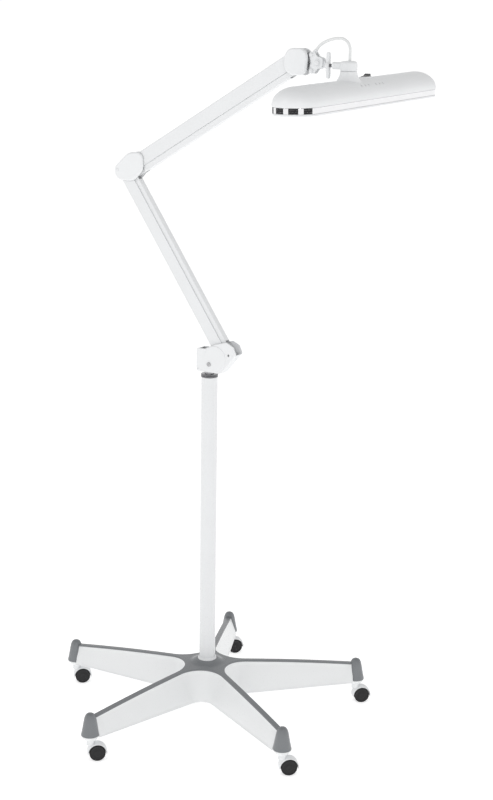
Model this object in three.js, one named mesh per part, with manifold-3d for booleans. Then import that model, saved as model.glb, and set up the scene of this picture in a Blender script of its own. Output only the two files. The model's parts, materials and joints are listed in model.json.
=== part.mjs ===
// Pharmacy floor lamp: a white pole on a five-legged castor base, carrying a two-part spring arm
// and a long LED head. Millimetres, +Z up. The arms lie in the XZ plane and the head crosses it.
import * as THREE from "three";
import { mergeVertices } from "three/addons/utils/BufferGeometryUtils.js";
import Module from "manifold-3d";

const wasm = await Module();
wasm.setup();

const GAP = 0.3; // between pieces that touch
const deg = THREE.MathUtils.degToRad;

// ---------------------------------------------------------------- driving dimensions
// base
const LEGS = 5;
const FIRST_LEG_ANGLE = deg(-103);
const STEM_CIRCLE_R = 340;
const LEG_TIP_R = 330;
const COVER_THICKNESS = 3;
const CAP_BASE_Z = 56;
const CAP_TOP_Z = 104;
const CAP_BASE_R = 19.5;
// castors
const WHEEL_R = 17;
const HOOD_R = 21;
const TRAIL = 14;
const CASTOR_HEADING = deg(40);
// pole
const POLE_R = 17.5;
const POLE_WALL = 1.5;
const POLE_BOTTOM_Z = 62;
const POLE_TOP_Z = 764;
// arms
const ARM_LENGTH = 445;
const LOWER_ANGLE = deg(124);
const UPPER_ANGLE = deg(30.5);
const CHANNEL_HALF_WIDTH = 10;
const CHANNEL_WALL = 1.6;
const LINK_HALF_WIDTH = 7.9;
const LINK_WALL = 1.3;
const LINK_R = 6.5;
const WEB_START = 26; // the channel's web stops this far from each pivot
const FORK_LENGTH = 24; // and the link's this far
const NARROW_FORK = 6.2; // half width of the upper link's elbow end, inside the lower link's
const CORE_HALF_WIDTH = 4;
const PIN_R = 3;
const LINK_PIN_R = 2.6;
const LOWER_CHANNEL_HEIGHT = 28;
const UPPER_CHANNEL_HEIGHT = 30;
// pivots in the arm plane, as [x, z] from the pole axis and the floor
const BRACKET_PIVOT = [40, 809];
const LOWER_LINK_OFFSET = [15, 9];
const UPPER_LINK_OFFSET = [3, -23];
const ELBOW_STEP = [23, 25]; // from the lower arm's elbow pivot to the upper arm's
// head joint
const KNUCKLE_STEP = [47, -9.5]; // from the arm-end pivot to the tilt pivot
const HEAD_ROLL = deg(2.2);
const STUD_DROP = 4.6;
const SWIVEL_X = 65; // tilt pivot to the swivel axis
const BARREL_R = 17;
const BARREL_HALF_HEIGHT = 9.5;
// head
const HEAD_LENGTH = 598;
const HEAD_WIDTH = 88;
const SHELL_OVERHANG = 1.5;
const SHELL_WALL = 2.5;
const PEDESTAL_HEIGHT = 16;
const HEAD_HEIGHT = 52;
const RIM_TOP = 16;
const FRAME_HEIGHT = 4;
const PEDESTAL_OFFSET = -47; // pedestal from the middle of the head, along it
const SWITCH_FROM_PEDESTAL = 74;
// the pole axis stands off the middle of the footprint by this much
const FOOTPRINT_SHIFT = new THREE.Vector3(1.4, 0.6, 0);

// ---------------------------------------------------------------- materials
function material(color, roughness, metalness = 0) {
  return new THREE.MeshStandardMaterial({ color, roughness, metalness });
}
const WHITE = material(0xe8e9ea, 0.35);
const WHITE_METAL = material(0xe0e2e3, 0.3, 0.1);
const GREY = material(0x85878b, 0.3);
const BLACK = material(0x161617, 0.5);
const CHROME = material(0xd5d7d9, 0.12, 1);
const STEEL = material(0xa9acb0, 0.35, 1);
const DIFFUSER = material(0xf4f6f6, 0.5);
const BOARD = material(0xd9ddd6, 0.5);

// ---------------------------------------------------------------- solids
function solidOf(geometry) {
  const bare = geometry.index ? geometry.clone() : geometry;
  bare.deleteAttribute("normal");
  bare.deleteAttribute("uv");
  const merged = mergeVertices(bare, 1e-4);
  const mesh = new wasm.Mesh({
    numProp: 3,
    vertProperties: new Float32Array(merged.attributes.position.array),
    triVerts: new Uint32Array(merged.index.array),
  });
  return new wasm.Manifold(mesh);
}

function geometryOf(solid) {
  const mesh = solid.getMesh();
  const geometry = new THREE.BufferGeometry();
  const positions = new Float32Array(mesh.numVert * 3);
  for (let i = 0; i < mesh.numVert; i++) {
    for (let k = 0; k < 3; k++) positions[3 * i + k] = mesh.vertProperties[mesh.numProp * i + k];
  }
  geometry.setAttribute("position", new THREE.BufferAttribute(positions, 3));
  geometry.setIndex(new THREE.BufferAttribute(new Uint32Array(mesh.triVerts), 1));
  geometry.computeVertexNormals();
  return geometry;
}

function moved(geometry, x, y, z) {
  return geometry.translate(x, y, z);
}

// box between two corners
function box([x0, y0, z0], [x1, y1, z1]) {
  const geometry = new THREE.BoxGeometry(x1 - x0, y1 - y0, z1 - z0);
  return solidOf(moved(geometry, (x0 + x1) / 2, (y0 + y1) / 2, (z0 + z1) / 2));
}

// cylinders along each axis, centred on the two other coordinates
function cylinderZ(r, z0, z1, x = 0, y = 0, sides = 14) {
  const geometry = new THREE.CylinderGeometry(r, r, z1 - z0, sides).rotateX(Math.PI / 2);
  return solidOf(moved(geometry, x, y, (z0 + z1) / 2));
}
function cylinderY(r, y0, y1, [x, z], sides = 14) {
  const geometry = new THREE.CylinderGeometry(r, r, y1 - y0, sides);
  return solidOf(moved(geometry, x, (y0 + y1) / 2, z));
}
function cylinderX(r, x0, x1, y = 0, z = 0, sides = 14) {
  const geometry = new THREE.CylinderGeometry(r, r, x1 - x0, sides).rotateZ(Math.PI / 2);
  return solidOf(moved(geometry, (x0 + x1) / 2, y, z));
}

// solid of revolution about Z; the profile is [r, z] from the bottom up, closed on the axis or itself
function revolve(profile, sides = 20) {
  const points = profile.map(([r, z]) => new THREE.Vector2(r, z));
  return solidOf(new THREE.LatheGeometry(points, sides).rotateX(Math.PI / 2));
}

// an outline in the XZ plane, extruded along Y
function plateY(outline, y0, y1) {
  const shape = new THREE.Shape(outline.map(([x, z]) => new THREE.Vector2(x, z)));
  const geometry = new THREE.ExtrudeGeometry(shape, { depth: y1 - y0, bevelEnabled: false });
  return solidOf(geometry.rotateX(Math.PI / 2).translate(0, y1, 0));
}

// a polygon whose corners [x, z, radius] are rounded; corners run anticlockwise
function rounded(corners, stepsPerCorner = 5) {
  const outline = [];
  corners.forEach(([x, z, r], i) => {
    const here = new THREE.Vector2(x, z);
    const before = new THREE.Vector2(...corners.at(i - 1)).sub(here).normalize();
    const after = new THREE.Vector2(...corners[(i + 1) % corners.length]).sub(here).normalize();
    if (!r) {
      outline.push([x, z]);
      return;
    }
    const half = Math.acos(THREE.MathUtils.clamp(before.dot(after), -1, 1)) / 2;
    const centre = here.clone().add(before.clone().add(after).setLength(r / Math.sin(half)));
    const start = here.clone().addScaledVector(before, r / Math.tan(half)).sub(centre).angle();
    const sweep = (Math.PI - 2 * half) * Math.sign(after.cross(before));
    for (let k = 0; k <= stepsPerCorner; k++) {
      const a = start + (sweep * k) / stepsPerCorner;
      outline.push([centre.x + r * Math.cos(a), centre.y + r * Math.sin(a)]);
    }
  });
  return outline;
}

// the same outline pulled in by a distance
function inset(corners, distance) {
  return corners.map(([x, z, r], i) => {
    const here = new THREE.Vector2(x, z);
    const before = new THREE.Vector2(...corners.at(i - 1)).sub(here).normalize();
    const after = new THREE.Vector2(...corners[(i + 1) % corners.length]).sub(here).normalize();
    const half = Math.acos(THREE.MathUtils.clamp(before.dot(after), -1, 1)) / 2;
    const turn = Math.sign(after.cross(before));
    const inward = before.clone().add(after).setLength((turn * distance) / Math.sin(half));
    return [x + inward.x, z + inward.y, Math.max(r - turn * distance, 0.5)];
  });
}

// a bar with round ends, from x = a to x = b in its own frame
function barOutline(a, b, halfHeight, endR) {
  return rounded([
    [a - endR, -halfHeight, Math.min(endR, halfHeight)],
    [b + endR, -halfHeight, Math.min(endR, halfHeight)],
    [b + endR, halfHeight, Math.min(endR, halfHeight)],
    [a - endR, halfHeight, Math.min(endR, halfHeight)],
  ]);
}

const root = new THREE.Group();

function node(name, solid, surface, parent = root) {
  const mesh = new THREE.Mesh(geometryOf(solid), surface);
  mesh.name = name;
  parent.add(mesh);
  return mesh;
}

function group(parent, x, y, z) {
  const made = new THREE.Group();
  made.position.set(x, y, z);
  parent.add(made);
  return made;
}

// ---------------------------------------------------------------- base
const legTopZ = (r) => 121.5 - 0.045 * r - 0.00011 * r * r;
const legBottomZ = (r) => 40 + 0.036 * r;

// a five-legged star: straight legs of a half width, joined by round fillets
const STATIONS = [0, 0.33, 0.66];
const FILLET_STEPS = 5;

function starOutline(halfWidth, fillet, tip) {
  const stepAngle = (2 * Math.PI) / LEGS;
  const centreR = (halfWidth + fillet) / Math.sin(stepAngle / 2);
  const tangentX = centreR * Math.cos(stepAngle / 2);
  const outline = [];
  const place = (x, across, angle) =>
    outline.push([
      x * Math.cos(angle) - across * Math.sin(angle),
      x * Math.sin(angle) + across * Math.cos(angle),
    ]);
  for (let i = 0; i < LEGS; i++) {
    const angle = FIRST_LEG_ANGLE + i * stepAngle;
    const middle = angle + stepAngle / 2;
    for (const t of STATIONS) place(tip + (tangentX - tip) * t, halfWidth, angle);
    for (let k = 0; k <= FILLET_STEPS; k++) {
      const a = angle - Math.PI / 2 - ((Math.PI - stepAngle) * k) / FILLET_STEPS;
      outline.push([
        centreR * Math.cos(middle) + fillet * Math.cos(a),
        centreR * Math.sin(middle) + fillet * Math.sin(a),
      ]);
    }
    for (const t of STATIONS.toReversed()) place(tip + (tangentX - tip) * t, -halfWidth, angle + stepAngle);
  }
  return outline;
}

// a star between two outlines; the faces above and below are laid in strips along each leg, so that
// two stars with the same height curve lie an even distance apart
function star({ top, bottom, tip, topZ, bottomZ }) {
  const upper = starOutline(top.halfWidth, top.fillet, tip);
  const lower = starOutline(bottom.halfWidth, bottom.fillet, tip);
  const count = upper.length;
  const positions = [];
  for (const [x, y] of lower) positions.push(x, y, bottomZ(Math.hypot(x, y)));
  for (const [x, y] of upper) positions.push(x, y, topZ(Math.hypot(x, y)));
  const hubR = Math.hypot(...upper[STATIONS.length + 2]);
  const [lowerCentre, upperCentre] = [2 * count, 2 * count + 1];
  positions.push(0, 0, bottomZ(hubR), 0, 0, topZ(hubR));
  const faces = [];
  for (let i = 0; i < count; i++) {
    const j = (i + 1) % count;
    faces.push(i, j, count + j, i, count + j, count + i);
  }
  const cover = (a, b, c) => faces.push(a, c, b, count + a, count + b, count + c);
  const block = count / LEGS;
  for (let i = 0; i < LEGS; i++) {
    const left = i * block;
    const right = (i * block + count - 1) % count;
    for (let k = 0; k < STATIONS.length; k++) {
      cover(left + k, left + k + 1, right - k);
      cover(left + k + 1, right - k - 1, right - k);
    }
    const start = left + STATIONS.length;
    for (let k = 0; k < FILLET_STEPS; k++) {
      faces.push(lowerCentre, start + k + 1, start + k);
      faces.push(upperCentre, count + start + k, count + start + k + 1);
    }
    const across = right - STATIONS.length;
    faces.push(lowerCentre, start, across, upperCentre, count + across, count + start);
  }
  const geometry = new THREE.BufferGeometry();
  geometry.setAttribute("position", new THREE.Float32BufferAttribute(positions, 3));
  geometry.setIndex(faces);
  return solidOf(geometry);
}

const legAngles = Array.from({ length: LEGS }, (_, i) => FIRST_LEG_ANGLE + (i * 2 * Math.PI) / LEGS);

function atLegEnds(solid) {
  return legAngles.map((a) =>
    solid.translate([STEM_CIRCLE_R * Math.cos(a), STEM_CIRCLE_R * Math.sin(a), 0]),
  );
}

function legBody(extra) {
  return star({
    top: { halfWidth: 5.5 + extra, fillet: 57 - extra },
    bottom: { halfWidth: 19 + extra, fillet: 25 - extra },
    tip: LEG_TIP_R + extra,
    topZ: (r) => legTopZ(r) - COVER_THICKNESS - GAP + extra,
    bottomZ: (r) => legBottomZ(r) - extra,
  });
}

function buildBase() {
  const wall = 3;
  const inside = star({
    top: { halfWidth: 5.5 - wall + 1, fillet: 57 + wall - 1 },
    bottom: { halfWidth: 19 - wall, fillet: 25 + wall },
    tip: 312,
    topZ: (r) => legTopZ(r) - COVER_THICKNESS - 3.5,
    bottomZ: (r) => legBottomZ(r) - 1,
  });
  const hubBoss = cylinderZ(26, 46, 114.5, 0, 0, 24);
  const poleSocket = cylinderZ(POLE_R + GAP, POLE_BOTTOM_Z - GAP, 130, 0, 0, 24);
  const boltHole = cylinderZ(6, 30, 70);
  // round foot and post at each leg end, inside the grey cap, with the castor's socket
  const postProfile = [[0, 47], [14, 47], [19.3, 54], [19.3, 55.7], [16.2, 55.7], [9.2, 94], [0, 94]];
  const post = revolve(postProfile, 14);
  const stemSocket = cylinderZ(4.4, 40, 76);
  let body = legBody(0).subtract(inside).add(hubBoss);
  for (const solid of atLegEnds(post)) body = body.add(solid);
  for (const solid of atLegEnds(stemSocket)) body = body.subtract(solid);
  node("star_base", body.subtract(poleSocket).subtract(boltHole), WHITE);

  // grey cover over the star's top, with a raised boss round the pole
  const capBore = cylinderZ(10.2, 60, 130);
  let cover = star({
    top: { halfWidth: 6.3, fillet: 56 },
    bottom: { halfWidth: 6.3, fillet: 56 },
    tip: LEG_TIP_R + 4,
    topZ: legTopZ,
    bottomZ: (r) => legTopZ(r) - COVER_THICKNESS,
  });
  cover = cover.add(revolve([[0, 118.8], [35, 118.8], [25, 126], [0, 126]]));
  for (const solid of atLegEnds(capBore)) cover = cover.subtract(solid);
  const capProfile = [[0, CAP_BASE_Z], [CAP_BASE_R, CAP_BASE_Z], [14.5, 82], [12.3, 95], [9.6, 101],
    [5.4, 103.6], [0, CAP_TOP_Z]];
  const capOuter = revolve(capProfile, 18);
  for (const solid of atLegEnds(capOuter)) cover = cover.subtract(solid);
  node("base_top_cover", cover.subtract(cylinderZ(POLE_R + GAP, 100, 140, 0, 0, 24)), GREY);

  const capHollow = [[0, 50], [CAP_BASE_R - 2, 50], [CAP_BASE_R - 2.3, CAP_BASE_Z], [10, 96], [0, 98]];
  const capInner = revolve(capHollow, 14);
  const legSlot = legBody(GAP);
  const coverSlot = star({
    top: { halfWidth: 6.6, fillet: 56 },
    bottom: { halfWidth: 6.6, fillet: 56 },
    tip: STEM_CIRCLE_R - 9,
    topZ: (r) => legTopZ(r) + GAP,
    bottomZ: (r) => legTopZ(r) - COVER_THICKNESS - 1,
  });
  atLegEnds(capOuter.subtract(capInner)).forEach((cap, i) => {
    node("leg_cap_" + (i + 1), cap.subtract(legSlot).subtract(coverSlot), GREY);
  });

  const footCollar = [[17.8, 126.3], [20.4, 126.3], [19.4, 131], [17.8, 131.5], [17.8, 126.3]];
  node("foot_collar", revolve(footCollar, 24), WHITE);
  node("pole_bolt", revolve([[0, 41], [9, 41], [9, 45.7], [5, 45.7], [5, 76], [0, 76]], 12), STEEL);
}

function buildCastor(name, angle) {
  const stemX = STEM_CIRCLE_R * Math.cos(angle);
  const stemY = STEM_CIRCLE_R * Math.sin(angle);
  const castor = group(root, stemX, stemY, 0);
  castor.rotation.z = CASTOR_HEADING;
  const axle = [TRAIL, WHEEL_R];
  const halfWidth = 11;
  const upperHalf = box([-60, -30, WHEEL_R - 2], [60, 30, 80]);
  const shell = cylinderY(HOOD_R, -halfWidth, halfWidth, axle, 20)
    .subtract(cylinderY(HOOD_R - 2.4, -halfWidth - 1, halfWidth + 1, axle, 20));
  const web = cylinderY(HOOD_R - 1, -2.1, 2.1, axle, 20);
  const hood = shell.add(web).intersect(upperHalf)
    .add(cylinderY(6, -2.1, 2.1, axle, 12))
    .add(cylinderZ(8, 32, 46.4, 0, 0, 16))
    .subtract(cylinderY(HOOD_R - 2.4, 2.1, halfWidth + 1, axle, 20))
    .subtract(cylinderY(HOOD_R - 2.4, -halfWidth - 1, -2.1, axle, 20))
    .add(cylinderZ(4.1, 40, 74, 0, 0, 12))
    .subtract(cylinderY(3.3, -5, 5, axle, 12));
  node(name + "_hood", hood, WHITE, castor);
  const wheels = cylinderY(WHEEL_R, 2.6, 10.6, axle, 24)
    .add(cylinderY(WHEEL_R, -10.6, -2.6, axle, 24))
    .add(cylinderY(3.25, -4, 4, axle, 12));
  node(name + "_wheels", wheels, BLACK, castor);
}

// ---------------------------------------------------------------- pole and swivel
function buildPole() {
  const inside = POLE_R - POLE_WALL;
  const wall = [[inside, POLE_BOTTOM_Z], [POLE_R, POLE_BOTTOM_Z], [POLE_R, POLE_TOP_Z], [inside, POLE_TOP_Z],
    [inside, POLE_BOTTOM_Z]];
  const tube = revolve(wall, 24);
  const plug = cylinderZ(POLE_R - 1, POLE_BOTTOM_Z, POLE_BOTTOM_Z + 16, 0, 0, 24)
    .subtract(cylinderZ(5.3, 50, 90));
  node("pole", tube.add(plug), WHITE);
  const topCollar = [[10, 764.3], [18.2, 764.3], [18.6, 766], [18.2, 771], [10, 771], [10, 764.3]];
  node("top_collar", revolve(topCollar, 24), CHROME);
}

const [bracketX, bracketZ] = BRACKET_PIVOT;
const bracketLink = [bracketX + LOWER_LINK_OFFSET[0], bracketZ + LOWER_LINK_OFFSET[1]];
const bracketCorners = [
  [-24, 776.5, 4],
  [36, 776.5, 6],
  [73, 821, 4],
  [66, 837, 3],
  [50, 845, 4],
  [22, 838, 8],
  [-4, 826, 3],
  [-24, 826, 3],
];
const CLAMP_SCREW = [8, 794];
const COVER_INNER = 12;
const COVER_OUTER = 15;

// an axle pin with a head on each side of the channel
function pivotPin(at) {
  return cylinderY(PIN_R, -11.4, 11.4, at, 12)
    .add(cylinderY(5, 10.3, 11.6, at, 12))
    .add(cylinderY(5, -11.6, -10.3, at, 12));
}

function buildBracket() {
  const plateCorners = [[-20, 780, 2], [33, 780, 3], [62, 816, 6], [57, 826, 6], [44, 820, 5], [-20, 806, 3]];
  const plate = rounded(plateCorners);
  const spigot = revolve([[0, 664], [15.4, 664], [15.4, 763.5], [9, 763.5], [9, 781], [0, 781]], 24);
  const core = plateY(plate, -CORE_HALF_WIDTH, CORE_HALF_WIDTH)
    .add(cylinderY(10.5, -CORE_HALF_WIDTH, CORE_HALF_WIDTH, BRACKET_PIVOT, 24))
    .add(spigot)
    .add(cylinderY(LINK_PIN_R, -8, 8, bracketLink, 12))
    .subtract(cylinderY(PIN_R + 0.15, -20, 20, BRACKET_PIVOT, 12))
    .subtract(cylinderY(2.7, -20, 20, CLAMP_SCREW, 12));
  node("swivel_spigot", core, STEEL);
  node("bracket_pivot_pin", pivotPin(BRACKET_PIVOT), STEEL);

  const outer = rounded(bracketCorners);
  const inner = rounded(inset(bracketCorners, 2));
  // the rim closes the left, the underside and the lower right, and leaves the top open for the arm
  const rimArea = plateY([[-40, 760], [90, 760], [90, 818], [-4, 824], [-40, 826]], -20, 20);
  const neck = cylinderZ(9.4, 760, 800, 0, 0, 24);
  for (const [name, side] of [["bracket_front", -1], ["bracket_back", 1]]) {
    const between = (a, b) => (side < 0 ? [-b, -a] : [a, b]);
    const boss = cylinderY(26, ...between(COVER_OUTER - 1, COVER_OUTER + 1), [22, 808], 24);
    const spacer = cylinderY(5, ...between(CORE_HALF_WIDTH + GAP, COVER_INNER + 1), CLAMP_SCREW, 12);
    let half = plateY(outer, ...between(COVER_INNER, COVER_OUTER)).add(boss);
    const rim = plateY(outer, ...between(0.15, COVER_INNER + 1))
      .subtract(plateY(inner, ...between(-1, COVER_INNER)))
      .intersect(rimArea)
      .subtract(neck);
    half = half.add(rim).add(spacer)
      .subtract(cylinderY(2.7, -20, 20, CLAMP_SCREW, 12))
      .subtract(cylinderY(2.6, ...between(COVER_INNER - 1, COVER_OUTER + 2), bracketLink, 12));
    node(name, half, WHITE);
  }
  const screw = cylinderY(2.5, -16.3, 18, CLAMP_SCREW, 12)
    .add(cylinderY(4.6, -18.6, -16.3, CLAMP_SCREW, 20))
    .add(cylinderY(4.6, 16.3, 19.6, CLAMP_SCREW, 6));
  node("bracket_clamp_screw", screw, STEEL);
}

// ---------------------------------------------------------------- arms
// The channel opens downwards and carries the spring; the link is a smaller channel that runs inside
// its lower edge. Both have the arm's own frame: x along the arm from its first pivot.
function buildArm(prefix, pivot, angle, height, linkOffset, narrowStart) {
  const arm = group(root, pivot[0], 0, pivot[1]);
  arm.rotation.y = -angle;
  const outline = barOutline(0, ARM_LENGTH, height / 2, height / 2 - 1);
  const innerTop = height / 2 - CHANNEL_WALL;
  const innerWidth = CHANNEL_HALF_WIDTH - CHANNEL_WALL;
  let channel = plateY(outline, -CHANNEL_HALF_WIDTH, CHANNEL_HALF_WIDTH)
    .subtract(box([-40, -innerWidth, -height], [ARM_LENGTH + 40, innerWidth, innerTop]))
    .subtract(box([-40, -innerWidth, 0], [WEB_START, innerWidth, height]))
    .subtract(box([ARM_LENGTH - WEB_START, -innerWidth, 0], [ARM_LENGTH + 40, innerWidth, height]));
  for (const x of [0, ARM_LENGTH]) channel = channel.subtract(cylinderY(PIN_R + 0.15, -20, 20, [x, 0], 12));
  node(prefix + "_arm_channel", channel, WHITE, arm);

  const spring = cylinderX(3.6, 42, ARM_LENGTH - 190, 0, innerTop - 6, 12);
  node(prefix + "_arm_spring", spring, STEEL, arm);

  const link = group(root, pivot[0] + linkOffset[0], 0, pivot[1] + linkOffset[1]);
  link.rotation.y = -angle;
  const linkInner = LINK_HALF_WIDTH - LINK_WALL;
  let bar = plateY(barOutline(0, ARM_LENGTH, LINK_R, LINK_R), -LINK_HALF_WIDTH, LINK_HALF_WIDTH)
    .subtract(box([FORK_LENGTH + 6, -linkInner, LINK_WALL - LINK_R], [ARM_LENGTH + 40, linkInner, 20]))
    .subtract(box([ARM_LENGTH - FORK_LENGTH, -linkInner, -20], [ARM_LENGTH + 40, linkInner, 20]));
  if (narrowStart) {
    bar = bar.subtract(box([-40, -CORE_HALF_WIDTH - GAP, -20], [FORK_LENGTH + 7, CORE_HALF_WIDTH + GAP, 20]))
      .subtract(box([-40, NARROW_FORK, -20], [FORK_LENGTH, 20, 20]))
      .subtract(box([-40, -20, -20], [FORK_LENGTH, -NARROW_FORK, 20]));
  } else {
    bar = bar.subtract(box([-40, -linkInner, -20], [FORK_LENGTH + 7, linkInner, 20]));
  }
  for (const x of [0, ARM_LENGTH]) bar = bar.subtract(cylinderY(LINK_PIN_R + 0.4, -20, 20, [x, 0], 12));
  node(prefix + "_arm_link", bar, WHITE, link);
}

const along = (from, angle, length) => [
  from[0] + length * Math.cos(angle),
  from[1] + length * Math.sin(angle),
];
const plus = (a, b) => [a[0] + b[0], a[1] + b[1]];
const lowerElbow = along(BRACKET_PIVOT, LOWER_ANGLE, ARM_LENGTH);
const lowerElbowLink = plus(lowerElbow, LOWER_LINK_OFFSET);
const upperElbow = plus(lowerElbow, ELBOW_STEP);
const upperElbowLink = plus(upperElbow, UPPER_LINK_OFFSET);
const armEnd = along(upperElbow, UPPER_ANGLE, ARM_LENGTH);
const armEndLink = plus(armEnd, UPPER_LINK_OFFSET);
const tiltPivot = plus(armEnd, KNUCKLE_STEP);

// a lug of the core plate, between two points
function web(a, b, r) {
  const length = Math.hypot(b[0] - a[0], b[1] - a[1]);
  const bar = plateY(barOutline(0, length, r, r), -CORE_HALF_WIDTH, CORE_HALF_WIDTH);
  const turn = (Math.atan2(b[1] - a[1], b[0] - a[0]) * 180) / Math.PI;
  return bar.rotate([0, -turn, 0]).translate([a[0], 0, a[1]]);
}

function buildElbow() {
  const screwAt = plus(lowerElbow, [-17, 10]);
  const core = web(lowerElbow, lowerElbowLink, 6)
    .add(web(lowerElbow, upperElbow, 6.5))
    .add(web(upperElbow, upperElbowLink, 6))
    .add(web(lowerElbow, screwAt, 5))
    .add(cylinderY(LINK_PIN_R, -8, 8, lowerElbowLink, 12))
    .add(cylinderY(LINK_PIN_R, -NARROW_FORK, NARROW_FORK, upperElbowLink, 12))
    .subtract(cylinderY(PIN_R + 0.15, -20, 20, lowerElbow, 12))
    .subtract(cylinderY(PIN_R + 0.15, -20, 20, upperElbow, 12))
    .subtract(cylinderY(2, -20, 20, screwAt, 12));
  node("elbow_core", core, STEEL);
  node("elbow_lower_pin", pivotPin(lowerElbow), STEEL);
  node("elbow_upper_pin", pivotPin(upperElbow), STEEL);

  const corners = [
    [-25, -12, 19],
    [24, -12, 26],
    [48, 12, 20],
    [47, 50, 14],
    [10, 48, 30],
    [-26, 16, 16],
  ].map(([x, z, r]) => [lowerElbow[0] + x, lowerElbow[1] + z, r]);
  const outer = rounded(corners, 6);
  const inner = rounded(inset(corners, 2.2), 6);
  // the rim runs up the left side and over the top, clear of both arms
  const [ex, ez] = lowerElbow;
  const rimArea = plateY([[ex - 60, ez - 9], [ex - 18, ez - 9], [ex + 4, ez + 36], [ex + 4, ez + 80],
    [ex - 60, ez + 80]], -20, 20);
  for (const [name, side] of [["elbow_cover_front", -1], ["elbow_cover_back", 1]]) {
    const between = (a, b) => (side < 0 ? [-b, -a] : [a, b]);
    const rim = plateY(outer, ...between(0.15, COVER_INNER + 1))
      .subtract(plateY(inner, ...between(-1, COVER_INNER)))
      .intersect(rimArea);
    const cover = plateY(outer, ...between(COVER_INNER, COVER_OUTER))
      .add(rim)
      .add(cylinderY(4, ...between(CORE_HALF_WIDTH + GAP, COVER_INNER + 1), screwAt, 12))
      .subtract(cylinderY(2, -20, 20, screwAt, 12));
    node(name, cover, WHITE);
  }
  const screw = cylinderY(1.7, -15.3, 15.3, screwAt, 12)
    .add(cylinderY(3.4, -16.6, -15.3, screwAt, 12))
    .add(cylinderY(3.4, 15.3, 16.6, screwAt, 12));
  node("elbow_screw", screw, STEEL);
}

const KNUCKLE_BOLTS = [[-13, 15], [-13, -15]]; // from the tilt pivot
const knuckleInner = CORE_HALF_WIDTH + 0.4;
const knuckleOuter = 8.4;

function buildArmEnd() {
  const bolts = KNUCKLE_BOLTS.map((step) => plus(tiltPivot, step));
  let core = web(armEnd, armEndLink, 6).add(web(armEnd, bolts[0], 5.5)).add(web(armEnd, bolts[1], 5.5))
    .add(cylinderY(LINK_PIN_R, -8, 8, armEndLink, 12))
    .subtract(cylinderY(PIN_R + 0.15, -20, 20, armEnd, 12));
  for (const at of bolts) core = core.subtract(cylinderY(2.7, -20, 20, at, 12));
  node("arm_end_core", core, STEEL);
  node("arm_end_pin", pivotPin(armEnd), STEEL);

  const [ax, az] = armEnd;
  const corners = [
    [-25, -34, 22],
    [25, -35, 16],
    [29, 18, 18],
    [-23, 18, 20],
  ].map(([x, z, r]) => [ax + x, az + z, r]);
  const outer = rounded(corners, 6);
  const inner = rounded(inset(corners, 2.2), 6);
  const rimArea = box([ax + 14, -20, az - 60], [ax + 60, 20, az + 60]);
  for (const [name, side] of [["end_cover_front", -1], ["end_cover_back", 1]]) {
    const between = (a, b) => (side < 0 ? [-b, -a] : [a, b]);
    // the end wall leaves a slot for the core plate and the knuckle plates
    const rim = plateY(outer, ...between(knuckleOuter + 0.6, COVER_INNER + 1))
      .subtract(plateY(inner, ...between(-1, COVER_INNER)))
      .intersect(rimArea);
    const foot = plateY([[ax + 21, az - 4], [ax + 25, az - 4], [ax + 25, az + 2], [ax + 21, az + 2]],
      ...between(CORE_HALF_WIDTH + GAP, COVER_INNER + 1));
    const cover = plateY(outer, ...between(COVER_INNER, COVER_OUTER)).add(rim).add(foot);
    node(name, cover, WHITE);
  }

  // two ribbed plates that clamp the tilt block
  const [kx, kz] = tiltPivot;
  const plateCorners = [[-19, -21, 5], [-7, -21, 5], [0, -11, 6], [11.5, -11, 8], [11.5, 11, 8], [0, 11, 6],
    [-7, 21, 5], [-19, 21, 5], [-14, 0, 8]].map(([x, z, r]) => [kx + x, kz + z, r]);
  for (const [name, side] of [["knuckle_plate_front", -1], ["knuckle_plate_back", 1]]) {
    const between = (a, b) => (side < 0 ? [-b, -a] : [a, b]);
    let plate = plateY(rounded(plateCorners, 3), ...between(knuckleInner, knuckleOuter))
      .subtract(cylinderY(PIN_R + 0.15, -20, 20, tiltPivot, 12));
    for (const at of bolts) plate = plate.subtract(cylinderY(2.7, -20, 20, at, 12));
    node(name, plate, WHITE_METAL);
  }
  bolts.forEach((at, i) => {
    const bolt = cylinderY(2.5, -10.6, 10.6, at, 12)
      .add(cylinderY(4.2, -11, -8.8, at, 12))
      .add(cylinderY(4.2, 8.8, 11, at, 6));
    node(i ? "knuckle_bolt_lower" : "knuckle_bolt_upper", bolt, WHITE_METAL);
  });
  const tiltBolt = cylinderY(PIN_R, -10.6, 10.6, tiltPivot, 12)
    .add(cylinderY(5.5, -12.4, -8.8, tiltPivot, 20))
    .add(cylinderY(5.5, 8.8, 12.4, tiltPivot, 6));
  node("tilt_bolt", tiltBolt, WHITE_METAL);
}

// ---------------------------------------------------------------- head joint and head
// everything from here on is in the tilting frame: origin on the tilt pivot, x along the level stud
const tilting = group(root, tiltPivot[0], 0, tiltPivot[1]);
const rolling = group(tilting, 0, 0, -STUD_DROP);
rolling.rotation.x = HEAD_ROLL;
const headDrop = BARREL_HALF_HEIGHT + GAP + PEDESTAL_HEIGHT + HEAD_HEIGHT;
const head = group(rolling, SWIVEL_X, -PEDESTAL_OFFSET, -headDrop);
const STUD_R = 3.2;

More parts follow.
